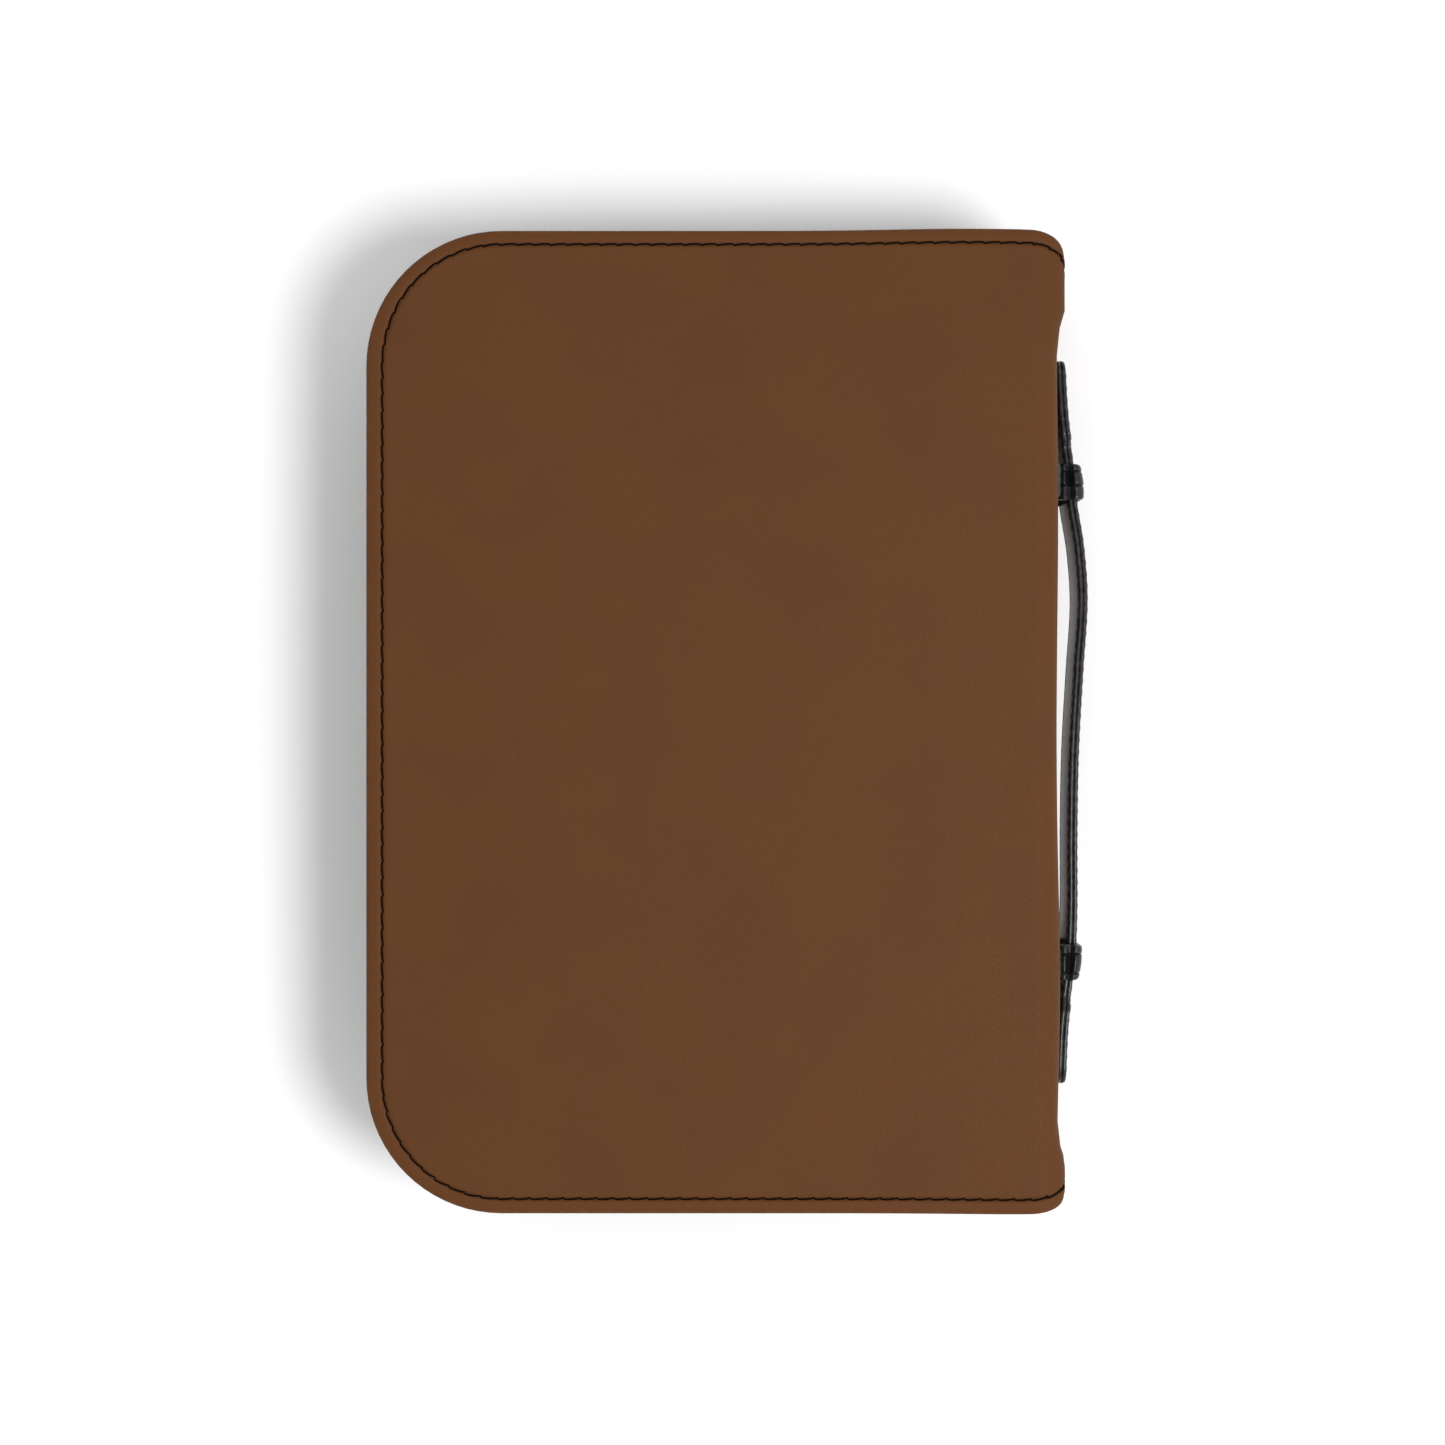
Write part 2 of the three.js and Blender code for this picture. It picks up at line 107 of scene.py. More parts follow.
# places say where the material's pattern lies, and masks are values that materials read by name
def newPiece(name, verts, faces, materials, slots=None, places=None, masks=None, sharp=40):
    mesh = bpy.data.meshes.new(name)
    mesh.from_pydata([tuple(v) for v in verts], [], faces)
    for material in materials if isinstance(materials, list) else [materials]:
        mesh.materials.append(material)
    if slots:
        mesh.polygons.foreach_set("material_index", slots)
    spots = mesh.attributes.new("place", "FLOAT_VECTOR", "POINT")
    spots.data.foreach_set("vector", [c for p in (places or verts) for c in p])
    for key, values in (masks or {}).items():
        mesh.attributes.new(key, "FLOAT", "POINT").data.foreach_set("value", values)
    build = bmesh.new()
    build.from_mesh(mesh)
    bmesh.ops.recalc_face_normals(build, faces=build.faces)
    build.to_mesh(mesh)
    build.free()
    mesh.shade_smooth()
    mesh.set_sharp_from_angle(angle=math.radians(sharp))
    piece = bpy.data.objects.new(name, mesh)
    collection.objects.link(piece)
    return piece


# quads between rows of vertices, and around joins each row's last vertex to its first
def gridFaces(rows, columns, around=False, start=0):
    faces = []
    for j in range(rows - 1):
        for k in range(columns if around else columns - 1):
            a = start + j * columns + k
            b = start + j * columns + (k + 1) % columns
            faces.append((a, b, b + columns, a + columns))
    return faces


# a rod: a grid round it, with both ends closed
def rodFaces(rows, columns, start=0):
    caps = [tuple(start + row * columns + k for k in range(columns)) for row in (0, rows - 1)]
    return gridFaces(rows, columns, True, start) + [caps[0][::-1], caps[1]]


# a sheet's outer layer has count vertices, the inner layer as many again, and both are joined at the rim
def closeSheet(faces, count):
    edges = {(a, b) for face in faces for a, b in zip(face, face[1:] + face[:1])}
    rim = sorted((a, b) for a, b in edges if (b, a) not in edges)
    inner = [tuple(v + count for v in reversed(face)) for face in faces]
    return faces + inner + [(b, a, a + count, b + count) for a, b in rim]


# two layers of a grid, joined at the rim
def layeredFaces(rows, columns, around=False):
    return closeSheet(gridFaces(rows, columns, around), rows * columns)


# spotAt(t, turn) for rows of turns, with t from 0 to 1 down the rows
def roundRows(rows, turns, spotAt):
    return [spotAt(j / (rows - 1), 2 * math.pi * k / turns) for j in range(rows) for k in range(turns)]


# places on a row from 0 to 1, closer together near both ends
def easedPlace(i, count):
    return (1 - math.cos(math.pi * i / (count - 1))) / 2


# evenly spaced (point, ahead, out) along a run of (point, out)
def spacedAlong(run, pitch):
    lengths = [0]
    for (a, outA), (b, outB) in zip(run, run[1:]):
        lengths.append(lengths[-1] + (b - a).length)
    count = max(1, round(lengths[-1] / pitch))
    frames, k = [], 0
    for i in range(count):
        target = lengths[-1] * (i + 0.5) / count
        while lengths[k + 1] < target:
            k += 1
        (a, outA), (b, outB) = run[k], run[k + 1]
        t = (target - lengths[k]) / (lengths[k + 1] - lengths[k])
        frames.append((a.lerp(b, t), (b - a).normalized(), outA.lerp(outB, t).normalized()))
    return frames


# a thread round a path, added to verts and faces
def addThread(path, radius, sides, verts, faces):
    start = len(verts)
    for i, point in enumerate(path):
        ahead = (path[min(len(path) - 1, i + 1)] - path[max(0, i - 1)]).normalized()
        across = ahead.orthogonal() if i == 0 else across - ahead * across.dot(ahead)
        across.normalize()
        up = ahead.cross(across)
        for k in range(sides):
            turn = 2 * math.pi * k / sides
            verts.append(point + (across * math.cos(turn) + up * math.sin(turn)) * radius)
    faces += rodFaces(len(path), sides, start)


# one short thread for each stitch, its shape given as (along, across, out) in millimetres
def sewRuns(name, runs, sewing, material, place=lambda p: p):
    verts, faces = [], []
    for run in runs:
        for point, ahead, out in spacedAlong(run, sewing["pitch"]):
            inward = ahead.cross(out).normalized()
            path = [point + (ahead * t + inward * n + out * u) * mm for t, n, u in sewing["shape"]]
            addThread([place(p) for p in path], sewing["radius"], sewing["sides"], verts, faces)
    return newPiece(name, verts, faces, material)


# a straight stitch that dips into the leather at both ends, half its length and its rise in millimetres
def plainStitch(half, rise):
    hole, lip, bend = -0.3, 0.05, half - 0.1
    return [(-half, 0, hole), (-bend, 0, lip), (0, 0, rise), (bend, 0, lip), (half, 0, hole)]


# camera and light, and the floor's size

studio = {
    "cameraPlace": (0.0021, -0.0001, 0.750),
    "lens": 67.78,
    "sensorWidth": 36,
    "nearestSeen": 10 * mm,
    "floorSize": 60.0,
    "floorDrop": 0.5 * mm,
    "keyPlace": (0.55, -0.24, 1.20),
    "keySize": 0.44,
    "keyPower": 11.0,
    "skyStrength": 0.74,
}

camera = bpy.data.objects.new("camera", bpy.data.cameras.new("camera"))
camera.location = studio["cameraPlace"]
camera.data.lens = studio["lens"]
camera.data.sensor_width = studio["sensorWidth"]
camera.data.clip_start = studio["nearestSeen"]
collection.objects.link(camera)
bpy.context.scene.camera = camera

keyLamp = bpy.data.lights.new("keyLight", "AREA")
keyLamp.shape = "DISK"
keyLamp.size = studio["keySize"]
keyLamp.energy = studio["keyPower"]
keyLight = bpy.data.objects.new("keyLight", keyLamp)
keyLight.location = studio["keyPlace"]
keyLight.rotation_euler = Vector(studio["keyPlace"]).to_track_quat("Z", "Y").to_euler()
collection.objects.link(keyLight)

sky = bpy.data.worlds.new("sky")
sky.use_nodes = True
skyInputs = sky.node_tree.nodes["Background"].inputs
skyInputs["Color"].default_value = (1, 1, 1, 1)
skyInputs["Strength"].default_value = studio["skyStrength"]
bpy.context.scene.world = sky
bpy.context.scene.view_settings.view_transform = "Standard"
print("studio ready")


# shader groups, each built once

def setOrLink(tree, socket, value):
    if isinstance(value, bpy.types.NodeSocket):
        tree.links.new(value, socket)
    else:
        socket.default_value = value


# each group's first input says where its pattern lies
def startGroup(name, inputs, outputs):
    tree = bpy.data.node_groups.new(name, "ShaderNodeTree")
    for label, kind, value in [("Place", "Vector", None)] + inputs:
        socket = tree.interface.new_socket(label, in_out="INPUT", socket_type=f"NodeSocket{kind}")
        if value is not None:
            socket.default_value = value
    for label, kind in outputs:
        tree.interface.new_socket(label, in_out="OUTPUT", socket_type=f"NodeSocket{kind}")
    return tree, tree.nodes.new("NodeGroupInput").outputs, tree.nodes.new("NodeGroupOutput").inputs


def addNode(tree, kind, links=None, **settings):
    node = tree.nodes.new(f"ShaderNode{kind}")
    for key, value in settings.items():
        setattr(node, key, value)
    for socket, value in (links or {}).items():
        setOrLink(tree, node.inputs[socket], value)
    return node


def calc(tree, operation, *values):
    return addNode(tree, "Math", dict(enumerate(values)), operation=operation).outputs[0]


def times(tree, a, b):
    return calc(tree, "MULTIPLY", a, b)


def blendColours(tree, share, a, b):
    return addNode(tree, "Mix", {0: share, 6: a, 7: b}, data_type="RGBA").outputs[2]


def remap(tree, value, fromLow, fromHigh, toLow, toHigh):
    sockets = {0: value, 1: fromLow, 2: fromHigh, 3: toLow, 4: toHigh}
    return addNode(tree, "MapRange", sockets, interpolation_type="SMOOTHSTEP").outputs[0]


def addNoise(tree, place, scale, detail, roughness=0.5):
    sockets = {"Vector": place, "Scale": scale, "Detail": detail, "Roughness": roughness}
    return addNode(tree, "TexNoise", sockets).outputs[0]


def vectorCalc(tree, operation, a, b):
    second = 3 if operation == "SCALE" else 1       # the socket that b goes to
    return addNode(tree, "VectorMath", {0: a, second: b}, operation=operation).outputs[0]


# leather: broad mottling, fine creases between grains, and tiny pores
def makeGrainGroup():
    tree, given, result = startGroup(
        "leatherGrain",
        [("Colour", "Color", (0.1, 0.05, 0.03, 1)), ("Deep", "Color", (0.05, 0.02, 0.01, 1)),
         ("Grain", "Float", 900.0), ("Mottle", "Float", 0.5), ("Roughness", "Float", 0.55)],
        [("Colour", "Color"), ("Roughness", "Float"), ("Height", "Float")],
    )
    place = given["Place"]
    warp = addNode(tree, "TexNoise", {"Vector": place, "Scale": 160.0, "Detail": 2.0}).outputs["Color"]
    moved = vectorCalc(tree, "ADD", place, vectorCalc(tree, "SCALE", warp, 1.2 * mm))
    cells = addNode(tree, "TexVoronoi", {"Vector": moved, "Scale": given["Grain"]},
                    feature="DISTANCE_TO_EDGE").outputs["Distance"]
    crease = remap(tree, cells, 0.0, 0.22, 1.0, 0.0)
    pores = addNoise(tree, place, times(tree, given["Grain"], 2.7), 3.0, 0.6)
    cloudy = remap(tree, addNoise(tree, place, 34.0, 4.0, 0.55), 0.35, 0.68, 0.0, 1.0)
    shade = blendColours(tree, times(tree, cloudy, given["Mottle"]), given["Colour"], given["Deep"])
    shade = blendColours(tree, times(tree, crease, 0.22), shade, given["Deep"])
    tree.links.new(shade, result["Colour"])
    dull = calc(tree, "MULTIPLY_ADD", pores, 0.16, calc(tree, "SUBTRACT", given["Roughness"], 0.08))
    tree.links.new(calc(tree, "MULTIPLY_ADD", crease, 0.10, dull), result["Roughness"])
    height = calc(tree, "MULTIPLY_ADD", pores, 0.45, times(tree, crease, -0.8))
    tree.links.new(height, result["Height"])
    return tree


# cloth: over and under threads, with a little unevenness; the raised threads are coloured lighter, a painted
# highlight
def makeWeaveGroup():
    tree, given, result = startGroup(
        "plainWeave",
        [("Colour", "Color", (0.02, 0.02, 0.02, 1)), ("Light", "Color", (0.06, 0.06, 0.06, 1)),
         ("Threads", "Float", 1500.0), ("Roughness", "Float", 0.85)],
        [("Colour", "Color"), ("Roughness", "Float"), ("Height", "Float")],
    )
    parts = addNode(tree, "SeparateXYZ", {0: given["Place"]}).outputs
    turn = times(tree, given["Threads"], math.pi)
    across = calc(tree, "SINE", times(tree, parts[0], turn))
    down = calc(tree, "SINE", times(tree, calc(tree, "ADD", parts[1], parts[2]), turn))
    over = remap(tree, times(tree, across, down), -0.9, 0.9, 0.0, 1.0)
    fuzz = addNoise(tree, given["Place"], 900.0, 4.0)
    patches = addNoise(tree, given["Place"], 45.0, 3.0)
    # the share of painted highlight: on the raised threads, more in some patches than in others
    share = times(tree, over, remap(tree, patches, 0.3, 0.7, 0.4, 0.9))
    tree.links.new(blendColours(tree, share, given["Colour"], given["Light"]), result["Colour"])
    tree.links.new(calc(tree, "MULTIPLY_ADD", over, -0.12, given["Roughness"]), result["Roughness"])
    tree.links.new(calc(tree, "MULTIPLY_ADD", fuzz, 0.5, over), result["Height"])
    return tree


# light rubbing on raised places, broken up by noise
def makeWearGroup():
    tree, given, result = startGroup(
        "rubbedWear",
        [("Colour", "Color", (0.1, 0.1, 0.1, 1)), ("Rubbed", "Color", (0.3, 0.3, 0.3, 1)),
         ("Mask", "Float", 0.0), ("Amount", "Float", 0.5), ("Scale", "Float", 220.0)],
        [("Colour", "Color")],
    )
    broken = remap(tree, addNoise(tree, given["Place"], given["Scale"], 5.0), 0.42, 0.62, 0.0, 1.0)
    share = times(tree, times(tree, broken, given["Mask"]), given["Amount"])
    tree.links.new(blendColours(tree, share, given["Colour"], given["Rubbed"]), result["Colour"])
    return tree


# the edge of a page block: leaves seen edge-on, as thin lines that wander a little, with painted shade in the
# thin gaps between them
def makeLeafGroup():
    tree, given, result = startGroup(
        "leafLines",
        [("Colour", "Color", (0.6, 0.45, 0.2, 1)), ("Gap", "Color", (0.25, 0.15, 0.05, 1))],
        [("Colour", "Color"), ("Height", "Float"), ("Roughness", "Float")],
    )
    leaves = addNoise(tree, vectorCalc(tree, "MULTIPLY", given["Place"], (30.0, 30.0, 5200.0)), 1.0, 3.0, 0.7)
    groups = addNoise(tree, vectorCalc(tree, "MULTIPLY", given["Place"], (12.0, 12.0, 420.0)), 1.0, 2.0)
    gapShadeShare = remap(tree, leaves, 0.52, 0.30, 0.0, 0.85)
    gapShadeAmount = times(tree, gapShadeShare, remap(tree, groups, 0.3, 0.7, 0.5, 1.0))
    tree.links.new(blendColours(tree, gapShadeAmount, given["Colour"], given["Gap"]), result["Colour"])
    tree.links.new(leaves, result["Height"])
    tree.links.new(calc(tree, "MULTIPLY_ADD", gapShadeShare, 0.25, 0.34), result["Roughness"])
    return tree


# two columns of faint grey strokes, with no letters in them
def makePrintGroup():
    tree, given, result = startGroup(
        "printedColumns",
        [("Left", "Float", -0.062), ("Right", "Float", 0.054), ("Middle", "Float", -0.004),
         ("Top", "Float", 0.097), ("Line", "Float", 0.0036)],
        [("Ink", "Float")],
    )
    x, y = addNode(tree, "SeparateXYZ", {0: given["Place"]}).outputs[:2]
    offMiddle = calc(tree, "ABSOLUTE", calc(tree, "SUBTRACT", x, given["Middle"]))
    row = calc(tree, "DIVIDE", y, given["Line"])
    height = calc(tree, "FRACT", row)               # up the row, from 0 to 1
    alongRow, rowNumber = times(tree, x, 520.0), calc(tree, "FLOOR", row)
    spot = addNode(tree, "CombineXYZ", {0: alongRow, 1: rowNumber}).outputs[0]
    words = remap(tree, addNoise(tree, spot, 1.0, 0.0), 0.37, 0.42, 0.0, 1.0)
    strokes = remap(tree, addNoise(tree, spot, 5.0, 1.0), 0.35, 0.6, 0.25, 1.0)
    ink = times(tree, words, strokes)
    for mask in (
        calc(tree, "GREATER_THAN", x, given["Left"]),
        calc(tree, "LESS_THAN", x, given["Right"]),
        calc(tree, "GREATER_THAN", offMiddle, 2.8 * mm),
        calc(tree, "LESS_THAN", calc(tree, "ABSOLUTE", y), given["Top"]),
        calc(tree, "GREATER_THAN", height, 0.34),
        calc(tree, "LESS_THAN", height, 0.72),
    ):
        ink = times(tree, ink, mask)
    tree.links.new(ink, result["Ink"])
    return tree


grainGroup = makeGrainGroup()
weaveGroup = makeWeaveGroup()
wearGroup = makeWearGroup()
leafGroup = makeLeafGroup()
printGroup = makePrintGroup()
print("shader groups ready")


# materials

def startMaterial(name, shaderValues, onCad=False):
    material = bpy.data.materials.new(name)
    material.use_nodes = True
    tree = material.node_tree
    shader = tree.nodes["Principled BSDF"].inputs
    for label, value in shaderValues.items():
        shader[label].default_value = value
    if onCad:
        place = addNode(tree, "TexCoord").outputs["Object"]
    else:
        place = addNode(tree, "Attribute", attribute_name="place").outputs["Vector"]
    return material, tree, shader, place


def useGroup(tree, group, **values):
    node = addNode(tree, "Group")
    node.node_tree = group
    for label, value in values.items():
        setOrLink(tree, node.inputs[label], value)
    return node.outputs


def raiseSurface(tree, shader, height, distance):
    node = addNode(tree, "Bump", {"Height": height, "Distance": distance, "Strength": 1.0})
    tree.links.new(node.outputs[0], shader["Normal"])


def readMask(tree, name):
    return addNode(tree, "Attribute", attribute_name=name).outputs["Fac"]


brownLook = {
    "colour": (0.0978, 0.0348, 0.0081, 1),
    "deep": (0.0872, 0.0305, 0.0069, 1),
    "masked": ("hem", (0.0984, 0.0338, 0.0080, 1)),     # the strip outside the seam
    "rubbed": (0.150, 0.060, 0.020, 1),
    "wear": 0.35,
    "wearScale": 260.0,
    "grain": 1150.0,
    "mottle": 0.6,
    "relief": 0.03 * mm,
    "roughness": 0.62,
    "shader": {"Specular IOR Level": 0.16},
}
blackLook = {
    "colour": (0.0080, 0.0078, 0.0085, 1),
    "deep": (0.0030, 0.0030, 0.0034, 1),
    "masked": ("backingAndShadow", (0.090, 0.090, 0.096, 1)),    # the strap's inner layer, paler and rougher; its pale grey also stands in for the strap's soft shadow on the floor beside the spine
    "rubbed": (0.060, 0.058, 0.060, 1),
    "wear": 0.40,
    "wearScale": 620.0,
    "grain": 1500.0,
    "mottle": 0.8,
    "relief": 0.05 * mm,
    "roughness": 0.40,
    "shader": {"Specular IOR Level": 0.26, "Coat Weight": 0.35, "Coat Roughness": 0.14},
}
bookLook = {
    "colour": (0.030, 0.010, 0.008, 1),
    "deep": (0.012, 0.005, 0.004, 1),
    "masked": ("rim", (0.026, 0.009, 0.007, 1)),
    "rubbed": (0.070, 0.028, 0.022, 1),
    "wear": 0.5,
    "wearScale": 300.0,
    "grain": 620.0,
    "mottle": 0.6,
    "relief": 0.12 * mm,
    "roughness": 0.48,
    "shader": {},
}


def makeLeather(name, look):
    material, tree, shader, place = startMaterial(name, look["shader"])
    grain = useGroup(tree, grainGroup, Place=place, Colour=look["colour"], Deep=look["deep"],
                     Grain=look["grain"], Mottle=look["mottle"], Roughness=look["roughness"])
    mask, maskedColour = look["masked"]
    shade = blendColours(tree, readMask(tree, mask), grain["Colour"], maskedColour)
    wear = useGroup(tree, wearGroup, Place=place, Colour=shade, Rubbed=look["rubbed"],
                    Mask=readMask(tree, "rim"), Amount=look["wear"], Scale=look["wearScale"])
    tree.links.new(wear["Colour"], shader["Base Color"])
    tree.links.new(grain["Roughness"], shader["Roughness"])
    raiseSurface(tree, shader, grain["Height"], look["relief"])
    return material


clothShader = {"Sheen Weight": 0.05, "Sheen Roughness": 0.5, "Specular IOR Level": 0.3}
silkShader = {"Sheen Weight": 0.12, "Sheen Roughness": 0.35, "Specular IOR Level": 0.3}


def makeCloth(name, colour, light, threads, relief, roughness=0.85, shaderValues=clothShader):
    material, tree, shader, place = startMaterial(name, shaderValues)
    weave = useGroup(tree, weaveGroup, Place=place, Colour=colour, Light=light, Threads=threads,
                     Roughness=roughness)
    tree.links.new(weave["Colour"], shader["Base Color"])
    tree.links.new(weave["Roughness"], shader["Roughness"])
    raiseSurface(tree, shader, weave["Height"], relief)
    return material


# waxed sewing thread: strands twisted round the stitch, each strand lighter along its crest, a painted
# highlight
def makeThread(name, colour, light, specular):
    material, tree, shader, place = startMaterial(name, {"Roughness": 0.8, "Specular IOR Level": specular})
    twist = addNode(tree, "TexWave", {"Vector": place, "Scale": 700.0, "Distortion": 1.5, "Detail": 1.0},
                    bands_direction="DIAGONAL").outputs["Fac"]
    tree.links.new(blendColours(tree, times(tree, twist, 0.6), colour, light), shader["Base Color"])
    raiseSurface(tree, shader, twist, 0.12 * mm)
    return material


# smooth metal, nylon and floor: two colours mixed by a noise, which also breaks up the gloss
def makePlain(name, colours, noiseScale, gloss, relief, shaderValues, onCad=False):
    material, tree, shader, place = startMaterial(name, shaderValues, onCad)
    noise = addNoise(tree, place, noiseScale, 4.0)
    share = remap(tree, noise, 0.35, 0.70, 0.0, 1.0)
    tree.links.new(blendColours(tree, share, *colours), shader["Base Color"])
    tree.links.new(calc(tree, "MULTIPLY_ADD", noise, 0.22, gloss), shader["Roughness"])
    raiseSurface(tree, shader, noise, relief)
    return material


def makePaper():
    dullness = {"Roughness": 0.85, "Specular IOR Level": 0.25}
    material, tree, shader, place = startMaterial("pagePaper", dullness)
    fibres = addNoise(tree, place, 700.0, 5.0)
    sheet = blendColours(tree, fibres, (0.63, 0.57, 0.45, 1), (0.68, 0.64, 0.53, 1))
    ink = times(tree, useGroup(tree, printGroup, Place=place)["Ink"], 0.75)
    tree.links.new(blendColours(tree, ink, sheet, (0.10, 0.09, 0.08, 1)), shader["Base Color"])
    raiseSurface(tree, shader, fibres, 0.03 * mm)
    return material


def makeGiltEdge():
    material, tree, shader, place = startMaterial("giltEdge", {"Metallic": 0.75})
    # the second colour is the painted shade in the gaps between the leaves
    leaves = useGroup(tree, leafGroup, Place=place, Colour=(0.62, 0.42, 0.15, 1), Gap=(0.26, 0.13, 0.04, 1))
    tree.links.new(leaves["Colour"], shader["Base Color"])
    tree.links.new(leaves["Roughness"], shader["Roughness"])
    raiseSurface(tree, shader, leaves["Height"], 0.12 * mm)
    return material


# rows of silk wound over a core, in two colours
def makeBandSilk():
    stripe, winding = 2.4 * mm, 0.6 * mm
    material, tree, shader, place = startMaterial("bandSilk", {"Roughness": 0.42, "Sheen Weight": 0.3})
    height = addNode(tree, "SeparateXYZ", {0: place}).outputs[2]
    share = calc(tree, "GREATER_THAN", calc(tree, "FRACT", calc(tree, "DIVIDE", height, stripe)), 0.5)
    shade = blendColours(tree, share, (0.30, 0.012, 0.020, 1), (0.62, 0.52, 0.30, 1))
    tree.links.new(shade, shader["Base Color"])
    ridges = calc(tree, "SINE", times(tree, height, 2 * math.pi / winding))
    raiseSurface(tree, shader, ridges, 0.06 * mm)
    return material


brownLeather = makeLeather("brownLeather", brownLook)
blackLeather = makeLeather("blackLeather", blackLook)
bookLeather = makeLeather("bookLeather", bookLook)
# threads to the metre, and how far they stand up; each cloth's second colour is the painted highlight on its
# raised threads
gussetCloth = makeCloth("gussetCloth", (0.005, 0.005, 0.006, 1), (0.020, 0.020, 0.022, 1), 1250.0, 0.16 * mm)
tapeCloth = makeCloth("tapeCloth", (0.004, 0.004, 0.005, 1), (0.017, 0.017, 0.019, 1), 1800.0, 0.10 * mm,
                      roughness=0.75)
liningCloth = makeCloth("liningCloth", (0.014, 0.011, 0.010, 1), (0.048, 0.040, 0.036, 1), 1600.0, 0.08 * mm)
elasticCloth = makeCloth("elasticCloth", (0.008, 0.008, 0.009, 1), (0.05, 0.05, 0.055, 1), 1100.0, 0.18 * mm)
ribbonSilk = makeCloth("ribbonSilk", (0.090, 0.0030, 0.0060, 1), (0.20, 0.010, 0.016, 1), 2600.0, 0.04 * mm,
                       roughness=0.5, shaderValues=silkShader)
# each thread's second colour is the painted highlight along its strands
caseThread = makeThread("caseThread", (0.0022, 0.0009, 0.0008, 1), (0.0060, 0.0028, 0.0025, 1), 0.06)
strapThread = makeThread("strapThread", (0.010, 0.010, 0.011, 1), (0.050, 0.050, 0.052, 1), 0.2)
blackMetal = makePlain("blackMetal", ((0.030, 0.030, 0.033, 1), (0.13, 0.125, 0.12, 1)), 900.0, 0.18,
                       0.02 * mm, {"Metallic": 0.9}, onCad=True)
nylonTeeth = makePlain("nylonTeeth", ((0.006, 0.006, 0.007, 1), (0.016, 0.016, 0.018, 1)), 500.0, 0.26,
                       0.03 * mm, {})
floorPaint = makePlain("whiteFloor", ((0.93, 0.93, 0.93, 1), (0.95, 0.95, 0.95, 1)), 3.0, 0.75,
                       0.0, {"Specular IOR Level": 0.1}, onCad=True)
pagePaper = makePaper()
giltEdge = makeGiltEdge()
bandSilk = makeBandSilk()
print("materials ready")

reach, level = studio["floorSize"] / 2, -studio["floorDrop"]
corners = [(-reach, -reach, level), (reach, -reach, level), (reach, reach, level), (-reach, reach, level)]
floor = newPiece("floor", corners, [(0, 1, 2, 3)], floorPaint)


# sheets that lie flat on a cover, turn round the fold and stand up the spine

# a cover's outline, drawn in by inset, from the head at rightX round the free edges to the tail
def outlinePath(plan, inset, rightX):
    top = plan["halfHeight"] - inset
    left = plan["foreX"] + inset
    radius = plan["cornerRadius"] - inset
    along, turnSteps, down = plan["steps"]
    startX = left + radius
    path = [(rightX + (startX - rightX) * i / along, top) for i in range(along)]
    for i in range(turnSteps):
        turn = math.pi / 2 * (1 + i / turnSteps)
        path.append((startX + radius * math.cos(turn), top - radius + radius * math.sin(turn)))
    path += [(left, (top - radius) * (1 - 2 * i / down)) for i in range(down)]
    for i in range(turnSteps):
        turn = math.pi / 2 * (2 + i / turnSteps)
        path.append((startX + radius * math.cos(turn), radius - top + radius * math.sin(turn)))
    path += [(startX + (rightX - startX) * i / along, -top) for i in range(along + 1)]
    return path


# how far a place lies in from the nearest free edge
def edgeDistance(plan, x, y):
    radius = plan["cornerRadius"]
    overX = plan["foreX"] + radius - x
    overY = abs(y) - (plan["halfHeight"] - radius)
    if overX > 0 and overY > 0:
        return radius - math.hypot(overX, overY)
    return min(x - plan["foreX"], plan["halfHeight"] - abs(y))


# one layer of a sheet: rings inside the outline, a grid in the middle, and columns round the fold
def layOutSheet(sheet, bendCount):
    plan, bendX = sheet["plan"], sheet["fold"]["bendX"]
    places, faces = [], []

    def add(x, y, station=0):
        places.append((x, y, station))
        return len(places) - 1

    rings = [[add(x, y) for x, y in outlinePath(plan, inset * mm, bendX)]
             for inset in sheet["insets"]]
    for outer, inner in zip(rings, rings[1:]):
        faces += list(zip(outer, outer[1:], inner[1:], inner))
    along, turnSteps, down = plan["steps"]
    across, rows = along + turnSteps // 2, down + turnSteps
    last, grid = rings[-1], {}
    for i in range(across + 1):
        grid[i, 0], grid[i, rows] = last[i], last[-1 - i]
    for j in range(rows + 1):
        grid[across, j] = last[across + j]
    stretch = places[last[0]][1] / places[grid[across, 0]][1]
    for j in range(1, rows):
        grid[0, j] = add(bendX, places[grid[across, j]][1] * stretch)
    # the grid's inside is spanned between its four edges
    for i in range(1, across):
        for j in range(1, rows):
            u, v = i / across, j / rows
            shares = {(i, 0): 1 - v, (i, rows): v, (0, j): 1 - u, (across, j): u, (0, 0): -(1 - u) * (1 - v),
                      (0, rows): -(1 - u) * v, (across, 0): -u * (1 - v), (across, rows): -u * v}
            spot = [sum(share * places[grid[key]][axis] for key, share in shares.items()) for axis in (0, 1)]
            grid[i, j] = add(*spot)
    faces += [(grid[i, j], grid[i + 1, j], grid[i + 1, j + 1], grid[i, j + 1])
              for i in range(across) for j in range(rows)]
    column = [ring[0] for ring in rings]
    column += [grid[0, j] for j in range(1, rows)]
    column += [ring[-1] for ring in reversed(rings)]
    for station in range(1, bendCount + 1):
        following = [add(bendX, places[k][1], station) for k in column]
        faces += list(zip(column, column[1:], following[1:], following))
        column = following
    return places, faces


